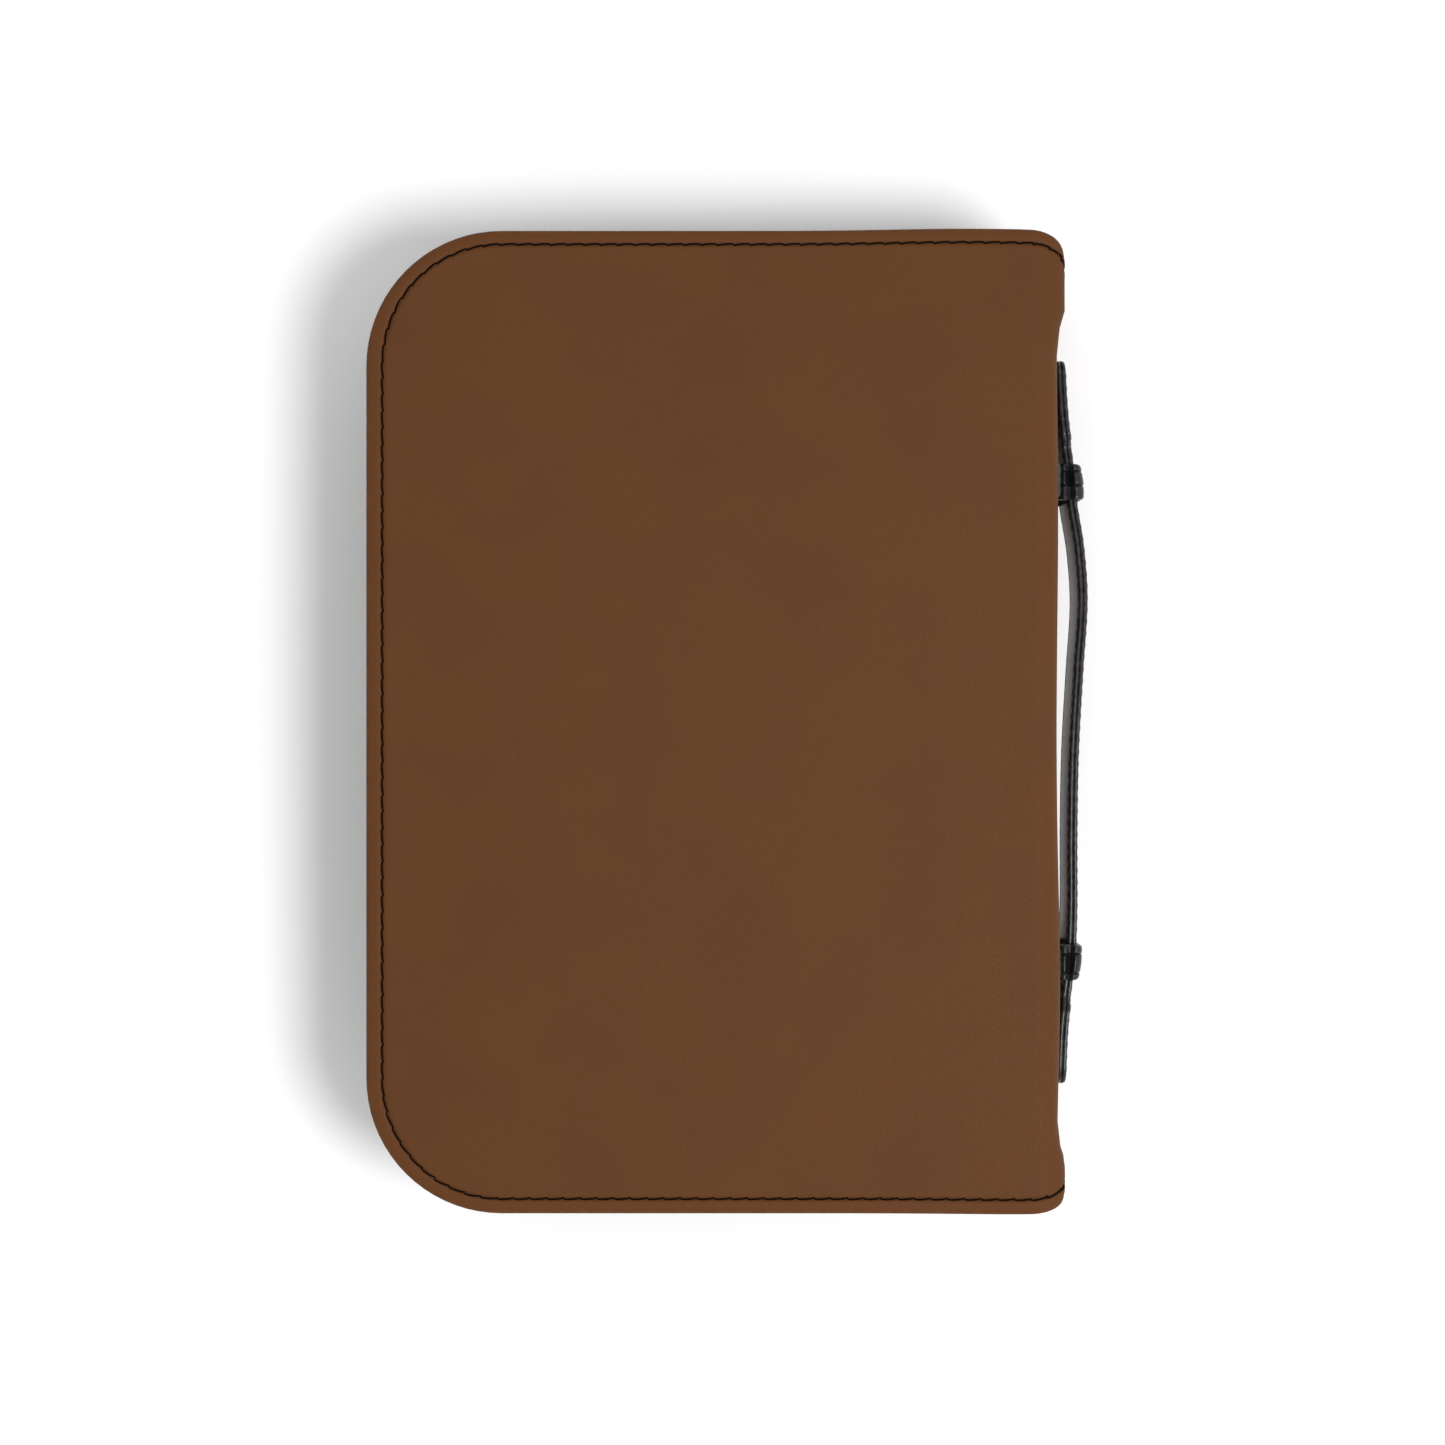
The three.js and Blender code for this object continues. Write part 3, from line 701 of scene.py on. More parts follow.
# x and h of the fold's face and the direction into the case, from the flat part to the spine's middle
def foldPath(fold):
    path = []
    radius, level = fold["radius"], fold["level"]
    reach = radius + fold.get("swell", 0)
    for i in range(1, fold["turnSteps"] + 1):
        turn = math.pi / 2 * i / fold["turnSteps"]
        inward = Vector((-radius * math.sin(turn), reach * math.cos(turn))).normalized()
        path.append((fold["bendX"] + reach * math.sin(turn), level + radius * (1 - math.cos(turn)), *inward))
    rise = middleH - level - radius
    for i in range(1, fold["riseSteps"] + 1):
        path.append((fold["bendX"] + reach, level + radius + rise * i / fold["riseSteps"], -1, 0))
    return path


# x, y and h of one of a sheet's places, and how far in from the edge it lies
def sheetPoint(sheet, path, place, layer, depthAt, shapeEnd):
    x, y, station = place
    if station == 0:
        px, ph, nx, nh = x, sheet["fold"]["level"], 0, 1
        inset = edgeDistance(sheet["plan"], x, y)
    else:
        px, ph, nx, nh = path[station - 1]
        inset = sheet["plan"]["halfHeight"] - abs(y)
    bent = min(1, station / max(1, sheet["fold"]["turnSteps"]))
    depth = depthAt(layer, inset, bent, x, y)
    px, y = shapeEnd(px + nx * depth, y)
    return px, y, ph + nh * depth, inset


softEdge = 0.4 * mm                     # the hem's colour fades over this, on both sides of the seam
rubbedRim = (0.2 * mm, 1.6 * mm)        # the rubbing fades between these, from the rim


# depthAt says how far into the case each layer lies, and shapeEnd moves places along x and y
def foldedSheet(name, side, sheet, depthAt, materials, shapeEnd=lambda x, y: (x, y), rimSlot=0):
    path = foldPath(sheet["fold"])
    places, faces = layOutSheet(sheet, len(path))
    points = [sheetPoint(sheet, path, place, layer, depthAt, shapeEnd)
              for layer in ("outer", "inner") for place in places]
    verts = [toSide(side, x, y, h) for x, y, h, inset in points]
    closed = closeSheet(faces, len(places))
    slots = [0] * (2 * len(faces)) + [rimSlot] * (len(closed) - 2 * len(faces))
    masks = {       # 1 outside the seam, and 1 where the rim is rubbed
        "hem": [1 - smooth(-softEdge, softEdge, inset - seamInset(y)) for x, y, h, inset in points],
        "rim": [1 - smooth(*rubbedRim, inset) for x, y, h, inset in points],
    }
    return newPiece(name, verts, closed, materials, slots=slots, masks=masks)


# pieces that run over the fold, from the cover to the spine, have their transform baked in
def bendAtFold(piece):
    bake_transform(piece)


# the spine's ends stand out, the head and tail edges bow a little and curve in to meet them
def shapeCaseEnd(x, y):
    end = "head" if y > 0 else "tail"
    share = min(1, max(0, (x - case["flatEndX"]) / case["foldRadius"]))
    centre, width, rise = case["bulge"][end]
    flare = case["flareDepth"] * smooth(*case["flare"][end], abs(y))
    x += share * (flare + rise * bump(centre, width, abs(y)))
    across = min(1, max(0, (x - case["endCurveX"]) / case["endCurveWidth"]))
    drop = case["endCurveDrop"][end] * (1 - math.sqrt(1 - across * across))
    centre, width, rise = case["bow"][end]
    drop -= rise * bump(centre, width, x)
    return x, y * (case["halfHeight"] - drop) / case["halfHeight"]


# the case's leather skins, with their stitches

skin = {
    "plan": case,
    "fold": {"bendX": case["flatEndX"], "radius": case["foldRadius"], "swell": case["foldSwell"], "level": 0,
             "turnSteps": 12, "riseSteps": 8},
    # in millimetres, close together at the rim and round the seam
    "insets": [0, 0.06, 0.2, 0.45, 0.9, 1.5, 2.1, 2.6, 3.0, 3.3, 3.6, 3.85, 4.1, 4.35, 4.7, 5.2, 6, 8, 11, 15,
               22, 30],
    "thickness": 3.2 * mm,          # board and turned-over leather together
    "foldThickness": 1.6 * mm,
    "rimShare": 0.45,               # of the thickness, rounded off on each face
    "rimReach": 1.5 * mm,           # how far the rounded edge runs in
    "seamInset": {"head": 3.7 * mm, "side": 4.25 * mm, "tail": 3.95 * mm},
    "seamShift": (95 * mm, 122 * mm),       # it changes from one to the next in the corners
    "seamDepth": 0.45 * mm,
    "seamWidth": 0.45 * mm,
    "puff": 0.10 * mm,              # how far the leather swells on both sides of the seam
    # where it swells from the seam, how widely, and its share
    "puffs": ((-1.3 * mm, 0.8 * mm, 1.0), (1.5 * mm, 0.9 * mm, 0.6)),
    "crown": 0.55 * mm,             # how far the cover's middle is padded up
    "crownRun": (4 * mm, 40 * mm),          # it rises between these, from the rim
    "crownFromFold": 30 * mm,       # and over this from the fold
    "thinBy": 0.6,                  # it is fold leather from this share of the turn
}
caseStitch = {
    "pitch": 4.3 * mm,
    "radius": 0.24 * mm,
    "sides": 8,
    # along the seam, towards the cover's middle, and out of the leather, ending in a hook
    "shape": [(-2.34, 0.06, -0.35), (-2.24, 0.00, 0.08), (-1.50, -0.16, 0.19), (0.0, -0.10, 0.22),
              (1.20, 0.08, 0.19), (1.85, 0.30, 0.16), (2.10, 0.58, 0.06), (2.20, 0.80, -0.10),
              (2.22, 0.88, -0.45)],
}


# how far in from the edge the seam runs at y
def seamInset(y):
    side, end = skin["seamInset"]["side"], skin["seamInset"]["head" if y > 0 else "tail"]
    return mix(side, end, smooth(*skin["seamShift"], abs(y)))


def skinDepth(side):
    proud = 1 if side == "back" else 0      # the front cover lies on the table, so it stays flat

    def depthAt(layer, inset, bent, x, y):
        thickness = mix(skin["thickness"], skin["foldThickness"], smooth(0, skin["thinBy"], bent))
        edge = skin["rimShare"] * thickness * roundOver(inset, skin["rimReach"])
        if layer == "inner":
            return thickness - edge
        fromSeam = inset - seamInset(y)
        groove = skin["seamDepth"] * bump(0, skin["seamWidth"], fromSeam)
        puff = skin["puff"] * sum(share * bump(*place, fromSeam) for *place, share in skin["puffs"])
        crown = skin["crown"] * smooth(*skin["crownRun"], inset)
        crown *= smooth(0, skin["crownFromFold"], case["flatEndX"] - x)
        return edge + groove - proud * (puff + crown * (1 - bent))
    return depthAt


# the seam's run of (point, out), from the spine's head round the cover to the spine's tail
def seamRun(side):
    path, depthAt, run = foldPath(skin["fold"]), skinDepth(side), []

    def add(x, y, station):
        px, py, h, inset = sheetPoint(skin, path, (x, y, station), "outer", depthAt, shapeCaseEnd)
        nx, nh = path[station - 1][2:] if station else (0, 1)
        run.append((Vector((px, py, h)), Vector((-nx, 0, -nh))))

    lines = {part: outlinePath(case, inset, case["flatEndX"]) for part, inset in skin["seamInset"].items()}
    for station in range(len(path), 0, -1):
        add(*lines["head"][0], station)
    for spots in zip(lines["side"], lines["head"], lines["tail"]):
        side, end = Vector(spots[0]), Vector(spots[1] if spots[0][1] > 0 else spots[2])
        add(*side.lerp(end, smooth(*skin["seamShift"], abs(side.y))), 0)
    for station in range(1, len(path) + 1):
        add(*lines["tail"][-1], station)
    return run


for side in ("front", "back"):
    piece = foldedSheet(f"{side}CaseSkin", side, skin, skinDepth(side), brownLeather, shapeCaseEnd)
    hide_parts(f"{side}_cover_leather", f"{side}_cover_board", f"{side}_spine_fold")
    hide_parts("spine_leather" if side == "back" else "spine_board")
    bendAtFold(piece)
    threads = sewRuns(f"{side}CaseStitches", [seamRun(side)], caseStitch, caseThread,
                      lambda p: toSide(side, p.x, p.y, p.z))
    bendAtFold(threads)
print("case skins ready")


# linings and the Bible's cover, which bend at the same folds

# the case's outline, drawn in by margin
def innerPlan(margin, steps):
    return {"foreX": case["foreX"] + margin, "halfHeight": case["halfHeight"] - margin,
            "cornerRadius": case["cornerRadius"] - margin, "steps": steps}


lining = {
    "plan": innerPlan(5.8 * mm, (26, 12, 32)),
    "fold": {"bendX": case["flatEndX"] - 1.4 * mm, "radius": 4.0 * mm, "level": 3.8 * mm, "turnSteps": 8,
             "riseSteps": 4},
    "insets": [0, 0.3, 1, 3, 8, 16, 26],
    "thickness": 0.8 * mm,
    "edgeDrop": 0.25 * mm,          # each face is bevelled this much at the rim
    "edgeReach": 0.3 * mm,
    "ripple": 0.05 * mm,
    "spineHalf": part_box("spine_lining")[1].y,       # shorter on the spine
    "narrowing": (case["flatEndX"] - 4.2 * mm, case["flatEndX"] + 1.8 * mm),
}


def bevelAt(sheet, inset):
    return sheet["edgeDrop"] * (1 - min(1, inset / sheet["edgeReach"]))


def liningDepth(layer, inset, bent, x, y):
    edge = bevelAt(lining, inset)
    ripple = lining["ripple"] * math.sin(x * 310) * math.sin(inset * 260)
    return lining["thickness"] - edge + ripple if layer == "inner" else edge


def shapeLiningEnd(x, y):
    narrow = lining["spineHalf"] / lining["plan"]["halfHeight"]
    return x, y * mix(1, narrow, smooth(*lining["narrowing"], x))


boardLow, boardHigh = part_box("bible_back_board")
bookCover = {
    "plan": {"foreX": boardLow.x, "halfHeight": boardHigh.y, "cornerRadius": 8 * mm, "steps": (30, 8, 40)},
    "fold": {"bendX": case["flatEndX"] - 4.7 * mm, "radius": 5.8 * mm, "level": 4.9 * mm, "turnSteps": 10,
             "riseSteps": 6},
    "insets": [0, 0.15, 0.5, 1.1, 2.2, 4.5, 7],
    "thickness": 2.2 * mm,
    "spineThickness": 1.8 * mm,
    "rimShare": 0.42,               # of the thickness, rounded off on each face
    "rimReach": 1.1 * mm,
}


def bookCoverDepth(layer, inset, bent, x, y):
    thickness = mix(bookCover["thickness"], bookCover["spineThickness"], bent)
    edge = bookCover["rimShare"] * thickness * roundOver(inset, bookCover["rimReach"])
    return thickness - edge if layer == "inner" else edge


for side in ("front", "back"):
    piece = foldedSheet(f"{side}Lining", side, lining, liningDepth, liningCloth, shapeLiningEnd)
    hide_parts(f"{side}_cover_lining")
    if side == "back":
        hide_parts("spine_lining")
    bendAtFold(piece)
    piece = foldedSheet(f"bible{side.capitalize()}Cover", side, bookCover, bookCoverDepth, bookLeather)
    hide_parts(f"bible_{side}_board")
    if side == "back":
        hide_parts("bible_spine")
    bendAtFold(piece)
print("linings and book cover ready")


# the pockets that hold the Bible's boards, each bound along its open edge

pocket = {
    "plan": innerPlan(6.1 * mm, (12, 14, 36)),
    "fold": {"bendX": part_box("back_bible_sleeve")[1].x, "radius": 0, "level": 4.9 * mm, "turnSteps": 0,
             "riseSteps": 0},
    "insets": [0, 0.4, 1, 2, 3.2, 4.6, 6, 7.5, 10, 15, 24],
    "lift": 2.4 * mm,               # over the board's thickness
    "liftRun": (0.6 * mm, 7.4 * mm),        # it rises between these, from the rim
    "cloth": 0.6 * mm,
}
binding = {
    "x": pocket["fold"]["bendX"] - 0.5 * mm,
    "halfWidth": 1.6 * mm,
    "halfHeight": 0.5 * mm,
    "halfLength": 113.5 * mm,
    "rows": 61,
    "turns": 12,
}


def pocketDepth(layer, inset, bent, x, y):
    lift = pocket["lift"] * smooth(*pocket["liftRun"], inset)
    return lift + (pocket["cloth"] if layer == "inner" else 0)


def makeBinding(side):
    level = pocket["fold"]["level"] + pocket["lift"] + pocket["cloth"] / 2

    def spotAt(t, turn):
        x = binding["x"] + binding["halfWidth"] * math.cos(turn)
        h = level + binding["halfHeight"] * math.sin(turn)
        return toSide(side, x, binding["halfLength"] * (1 - 2 * t), h)

    rows, turns = binding["rows"], binding["turns"]
    return newPiece(f"{side}PocketBinding", roundRows(rows, turns, spotAt), rodFaces(rows, turns), tapeCloth)


for side in ("front", "back"):
    piece = foldedSheet(f"{side}Pocket", side, pocket, pocketDepth, liningCloth)
    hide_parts(f"{side}_bible_sleeve")
    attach(piece, coverBody[side])
    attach(makeBinding(side), coverBody[side])
print("pockets ready")


# the page block, in two halves

pageLow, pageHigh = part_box("bible_front_pages")
pages = {
    "plan": {"foreX": pageLow.x, "halfHeight": pageHigh.y, "cornerRadius": 6 * mm, "steps": (60, 6, 40)},
    "fold": {"bendX": pageHigh.x, "radius": 0, "level": pageLow.z, "turnSteps": 0, "riseSteps": 0},
    "insets": [0, 0.3, 1.2, 3, 5.5],
    "depth": pageHigh.z - pageLow.z,
    "edgeDrop": 0.2 * mm,
    "edgeReach": 0.3 * mm,
    "gutterStart": pageHigh.x - 23 * mm,    # the leaves fan out between these
    "gutterStop": pageHigh.x - 1 * mm,
}


def pageDepth(layer, inset, bent, x, y):
    edge = bevelAt(pages, inset)
    return pages["depth"] - edge if layer == "inner" else edge


def bendAtGutter(piece):
    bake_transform(piece)


for side in ("front", "back"):
    name = f"bible{side.capitalize()}Pages"
    piece = foldedSheet(name, side, pages, pageDepth, [pagePaper, giltEdge], rimSlot=1)
    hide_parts(f"bible_{side}_pages")
    bendAtGutter(piece)
print("pages ready")


# ribbon marker, head band and tail band

ribbonLow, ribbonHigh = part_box("ribbon_marker")
ribbon = {
    "top": (ribbonHigh.x - 4 * mm, ribbonHigh.y),
    "low": (ribbonLow.x + 4 * mm, ribbonLow.y),
    "width": 8 * mm,
    "thickness": 0.3 * mm,
    "notch": 3 * mm,                # cut into its loose end
    "curve": 2.4,                   # above 1, it leaves the gutter in a curve
    "sway": 1.2 * mm,
    "ripple": 0.06 * mm,
    "gathered": (54 * mm, 72 * mm),         # it narrows between these, towards the gutter
    "gatheredShare": 0.55,
    "rows": 71,
    "columns": 7,
}


def makeRibbon():
    verts = []
    rows, columns = ribbon["rows"], ribbon["columns"]
    (topX, topY), (lowX, lowY) = ribbon["top"], ribbon["low"]
    for layer in (1, -1):
        for j in range(rows):
            t = j / (rows - 1)
            centre = mix(lowX, topX, (1 - t) ** ribbon["curve"]) + ribbon["sway"] * math.sin(4.2 * t)
            width = ribbon["width"] * (1 - ribbon["gatheredShare"] * smooth(*ribbon["gathered"], centre))
            middle = middleH + ribbon["ripple"] * math.sin(40 * t)
            for i in range(columns):
                s = i / (columns - 1) - 0.5
                y = mix(topY, lowY, t) + ribbon["notch"] * (1 - 2 * abs(s)) * smooth(0.95, 1, t)
                thick = ribbon["thickness"] / 2 * (0.5 if i in (0, columns - 1) else 1)
                verts.append(Vector((centre + width * s, y, middle + layer * thick)))
    piece = newPiece("ribbonMarker", verts, layeredFaces(rows, columns), ribbonSilk)
    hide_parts("ribbon_marker")
    bendAtGutter(piece)


makeRibbon()

band = {
    "radius": 0.9 * mm,
    "ridges": 50,
    "ridgeDepth": 0.10,             # of the radius
    "endPower": 24,                 # the higher, the shorter its rounded ends
    "rows": 101,
    "turns": 14,
}


def makeBand(end):
    low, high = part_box(f"{end}band")
    centre = (low + high) / 2

    def spotAt(t, turn):
        ridge = 1 - band["ridgeDepth"] * (1 - abs(math.sin(t * band["ridges"] * math.pi)))
        radius = band["radius"] * ridge * math.sqrt(max(0.05, 1 - abs(2 * t - 1) ** band["endPower"]))
        across, up = radius * math.cos(turn), radius * math.sin(turn)
        return Vector((centre.x + across, centre.y + up, mix(low.z, high.z, t)))

    rows, turns = band["rows"], band["turns"]
    piece = newPiece(f"{end}Band", roundRows(rows, turns, spotAt), rodFaces(rows, turns), bandSilk)
    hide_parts(f"{end}band")
    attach(piece, "spine")


for end in ("head", "tail"):
    makeBand(end)
print("ribbon and bands ready")


# the walls: gusset cloth, zip tapes, teeth and stops

walls = {
    "endX": spineX - 1.6 * mm,      # just inside the spine's leather
    "foldClear": 4.2 * mm,          # how far they stay from the fold's centre line
    # (inset, h) in millimetres round each strip's section, with a hem on the gusset and a bead on the tape
    "gusset": [(4.75, 3.25), (4.45, 5.0), (4.2, 8.0), (4.15, 11.0), (4.35, 14.0), (4.55, 15.4), (4.75, 15.7),
               (4.5, 16.0), (4.42, 16.8), (4.5, 17.6), (4.8, 18.0), (5.3, 18.0), (5.5, 17.5), (5.4, 11.0),
               (5.5, 3.25)],
    "tape": [(5.85, 14.5), (5.8, 19.0), (5.8, 21.2), (5.62, 21.5), (5.55, 21.9), (5.62, 22.4), (5.9, 22.6),
             (6.3, 22.6), (6.58, 22.4), (6.65, 21.9), (6.58, 21.5), (6.4, 21.2), (6.4, 19.0), (6.4, 14.5)],
}
# sewn along the gusset's hem, each stitch rising out of the wall's face
hemStitch = {
    "inset": 4.66 * mm,
    "h": 15.72 * mm,
    "endGap": 1 * mm,
    "pitch": 3.2 * mm,
    "radius": 0.2 * mm,
    "sides": 6,
    "shape": [(t, out, 0) for t, across, out in plainStitch(1.3, 0.16)],
}
# along the tape and h, in millimetres, up one side of a tooth that grips the tape's bead
halfTooth = [(0.62, 21.3), (0.62, 22.9), (0.36, 23.2), (0.36, 23.5), (0.60, 23.8), (0.60, 24.35),
             (0.38, 24.65)]
zipTeeth = {
    "pitch": 2.6 * mm,
    "inset": 6.1 * mm,
    "halfThickness": 0.95 * mm,
    "endGap": 6 * mm,
    "lastX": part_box("zip_slider")[0].x - 1 * mm,    # the closed slider covers the teeth from here
    "shape": [(-0.62, 21.3)] + halfTooth + [(-t, h) for t, h in reversed(halfTooth[1:])],
}


# how far the walls reach towards the spine at h
def wallEnd(h):
    belowCentre = case["foldRadius"] - h
    if belowCentre <= 0:
        return walls["endX"]
    reach = math.sqrt(max(0, walls["foldClear"] ** 2 - belowCentre ** 2))
    return min(walls["endX"], case["flatEndX"] + reach)


# a strip along three sides, its section given as (inset, h) in millimetres
def wallRun(name, side, profile, material):
    rings = [[(x, y, h * mm) for x, y in outlinePath(case, inset * mm, wallEnd(h * mm))]
             for inset, h in profile]
    lengths = [0]
    for a, b in zip(rings[0], rings[0][1:]):
        lengths.append(lengths[-1] + math.dist(a, b))
    rows = range(len(lengths))
    verts = [toSide(side, *ring[i]) for i in rows for ring in rings]
    places = [(lengths[i], ring[i][2], inset * mm) for i in rows for ring, (inset, h) in zip(rings, profile)]
    return newPiece(name, verts, rodFaces(len(rows), len(rings)), material, places=places, sharp=50)


# a run along the wall at one height, with h as its outward direction
def levelRun(inset, h, rightX):
    return [(Vector((x, y, h)), Vector((0, 0, 1))) for x, y in outlinePath(case, inset, rightX)]


def makeTeeth(side):
    verts, faces = [], []
    shift = 0 if side == "front" else zipTeeth["pitch"] / 2     # the two rows interlock
    run = levelRun(zipTeeth["inset"], 0, walls["endX"] - zipTeeth["endGap"])
    for point, ahead, up in spacedAlong(run, zipTeeth["pitch"]):
        point = point + ahead * shift
        if point.y < 0 and point.x > zipTeeth["lastX"]:
            continue
        faces += rodFaces(2, len(zipTeeth["shape"]), len(verts))
        for layer in (-1, 1):
            middle = point + ahead.cross(up).normalized() * layer * zipTeeth["halfThickness"]
            spots = [middle + ahead * t * mm for t, h in zipTeeth["shape"]]
            verts += [toSide(side, p.x, p.y, h * mm) for p, (t, h) in zip(spots, zipTeeth["shape"])]
    return newPiece(f"{side}ZipTeeth", verts, faces, nylonTeeth, sharp=30)


for side in ("front", "back"):
    for piece, nodeName, slotName in (
        (wallRun(f"{side}Gusset", side, walls["gusset"], gussetCloth), "gusset", "webbing"),
        (wallRun(f"{side}ZipTape", side, walls["tape"], tapeCloth), "zip_tape", "webbing"),
        (makeTeeth(side), "zip_teeth", "nylon"),
    ):
        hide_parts(f"{side}_{nodeName}")
        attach(piece, coverBody[side])
    hemRun = levelRun(hemStitch["inset"], hemStitch["h"], walls["endX"] - hemStitch["endGap"])
    threads = sewRuns(f"{side}GussetStitches", [hemRun], hemStitch, strapThread,
                      lambda p: toSide(side, p.x, p.y, p.z))
    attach(threads, coverBody[side])
print("walls and zip ready")

# the zip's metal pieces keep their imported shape, with softened edges
metalEdge = {"width": 0.22 * mm, "segments": 3, "fromAngle": 35}       # edges that turn by more degrees
for nodeName in ("zip_slider", "zip_pull_link", "front_zip_top_stop", "back_zip_top_stop",
                 "front_zip_bottom_stop", "back_zip_bottom_stop"):
    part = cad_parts[nodeName]
    bevel = part.modifiers.new("soften", "BEVEL")
    bevel.width = metalEdge["width"]
    bevel.segments = metalEdge["segments"]
    bevel.limit_method = "ANGLE"
    bevel.angle_limit = math.radians(metalEdge["fromAngle"])
    for materialSlot in part.material_slots:
        materialSlot.link = "OBJECT"
        materialSlot.material = blackMetal


# the pull's leather tab

tabLow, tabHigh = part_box("zip_pull_tab")
tab = {
    "length": tabHigh.x - tabLow.x,
    "half": (tabHigh.z - tabLow.z) / 2,
    "rootHalf": 1.7 * mm,           # narrower where it goes through the link
    "shoulder": (2.8 * mm, 5.4 * mm),       # it widens between these
    "halfThickness": 1.25 * mm,
    "edgeDrop": 0.55 * mm,          # each face falls this much at the edge
    "edgeReach": 0.9 * mm,
    "seamInset": 1.5 * mm,
    "seamStart": 7 * mm,
    "seamLevel": 1.05 * mm,
    "tipHalf": 0.25 * mm,
    "groove": 0.25 * mm,
    "grooveWidth": 0.3 * mm,
    "rows": 41,
    "columns": 11,
}
tabStitch = {"pitch": 2.6 * mm, "radius": 0.19 * mm, "sides": 6, "shape": plainStitch(1.0, 0.2)}


# t is the length from the tab's root
def tabHalfWidth(t):
    if t < tab["shoulder"][1]:
        return mix(tab["rootHalf"], tab["half"], smooth(*tab["shoulder"], t))
    over = t - (tab["length"] - tab["half"])
    return tab["half"] if over <= 0 else math.sqrt(max(1e-9, tab["half"] ** 2 - over ** 2))


def makePullTab():
    verts, rim = [], []
    centreY, centreZ = (tabLow.y + tabHigh.y) / 2, (tabLow.z + tabHigh.z) / 2
    rows, columns = tab["rows"], tab["columns"]
    for layer in (-1, 1):
        for j in range(rows):
            t = tab["length"] * easedPlace(j, rows)
            width = max(tab["tipHalf"], tabHalfWidth(t))
            groove = tab["groove"] * smooth(4 * mm, tab["seamStart"], t)
            for i in range(columns):
                s = 2 * easedPlace(i, columns) - 1
                fromEdge = min(width * (1 - abs(s)), tab["length"] - t)
                thick = tab["halfThickness"] - tab["edgeDrop"] * (1 - smooth(0, tab["edgeReach"], fromEdge))
                thick -= groove * bump(tab["seamInset"], tab["grooveWidth"], fromEdge)
                verts.append(Vector((tabHigh.x - t, centreY + layer * thick, centreZ + width * s)))
                rim.append(1 - smooth(0, 0.8 * mm, fromEdge))
    faces = layeredFaces(rows, columns)
    piece = newPiece("pullTab", verts, faces, blackLeather, masks={"rim": rim}, sharp=60)
    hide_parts("zip_pull_tab")
    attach(piece, "zip_pull")
    # the seam runs down one edge, round the tip and back
    half, turnAt = tab["half"] - tab["seamInset"], tab["length"] - tab["half"]
    edgePath = [(tab["seamStart"] + (turnAt - tab["seamStart"]) * i / 12, half) for i in range(13)]
    turns = [math.pi / 2 * (1 - i / 6) for i in range(1, 12)]
    edgePath += [(turnAt + half * math.cos(turn), half * math.sin(turn)) for turn in turns]
    edgePath += [(t, -z) for t, z in reversed(edgePath[:13])]
    runs = [[(Vector((tabHigh.x - t, centreY + layer * tab["seamLevel"], centreZ + z)), Vector((0, layer, 0)))
             for t, z in edgePath] for layer in (-1, 1)]
    threads = sewRuns("pullTabStitches", runs, tabStitch, strapThread)
    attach(threads, "zip_pull")


makePullTab()
print("zip pull ready")


# the pen loop

penLoop = {
    "wall": 0.9 * mm,
    "hem": 0.2 * mm,                # how far the hems at both ends stand out
    "hemPlace": 1.0 * mm,
    "hemWidth": 0.9 * mm,
    "slack": 0.25 * mm,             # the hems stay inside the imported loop
    "rows": 25,
    "turns": 40,
}


def makePenLoop():
    low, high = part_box("pen_loop")
    centre, outer = (low + high) / 2, (high.x - low.x) / 2
    rows, turns = penLoop["rows"], penLoop["turns"]

    def spotAt(t, turn, inward=0):
        y = mix(low.y, high.y, t)
        radius = outer - inward - penLoop["slack"]
        if inward == 0:
            fromEnd = min(y - low.y, high.y - y)
            radius += penLoop["hem"] * bump(penLoop["hemPlace"], penLoop["hemWidth"], fromEnd)
        return Vector((centre.x + radius * math.cos(turn), y, centre.z + radius * math.sin(turn)))

    verts = roundRows(rows, turns, spotAt)
    verts += roundRows(rows, turns, lambda t, turn: spotAt(t, turn, penLoop["wall"]))
    places = roundRows(rows, turns, lambda t, turn: (mix(low.y, high.y, t), turn * outer, 0)) * 2
    piece = newPiece("penLoop", verts, layeredFaces(rows, turns, True), elasticCloth, places=places)
    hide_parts("pen_loop")
    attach(piece, "front_cover")


makePenLoop()
print("pen loop ready")


# the handle: a strap of two layers, sewn along both edges

strap = {
    "gripHalf": 10 * mm,
    "endHalf": 12.5 * mm,
    "shoulder": (72.8 * mm, 75.3 * mm),     # it widens between these
    "reach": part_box("handle_end_head")[1].y + 0.2 * mm,
    "tipRadius": 4 * mm,
    "rows": 111,
    "seamInset": 2.0 * mm,
    "seamReach": 92.5 * mm,
    "seamLevel": {1: 1.10 * mm, -1: 0.98 * mm},     # on the outer face, and deeper on the spine's side
    "liftStart": 9 * mm,            # the grip bends up between here and the keeper
    "liftEnd": 60 * mm,
    # along the spine and off it, in millimetres
    "line": [(-97, 2.1), (-95, 2.1), (-80, 2.75), (-68, 4.2), (-60, 5.0), (-48, 5.4), (-30, 5.4), (-8, 5.8),
             (14, 7.0), (32, 8.1), (46, 7.2), (58, 5.3), (67, 4.5), (80, 2.8), (95, 1.9), (97, 1.9)],
    # out from the thickness's middle and in from the edge, in millimetres: the seam's groove, then the
    # outer layer's rounded edge
    "layer": [(1.25, 2.9), (1.24, 2.3), (1.06, 2.0), (1.24, 1.7), (1.22, 0.9), (1.10, 0.32), (0.86, 0.06),
              (0.50, 0.0), (0.22, 0.10)],
    "jointInset": 0.34 * mm,        # how far in the two layers meet at the edge
    "halfThickness": 1.32 * mm,     # along the strap's middle
    "endRound": 0.8 * mm,
}
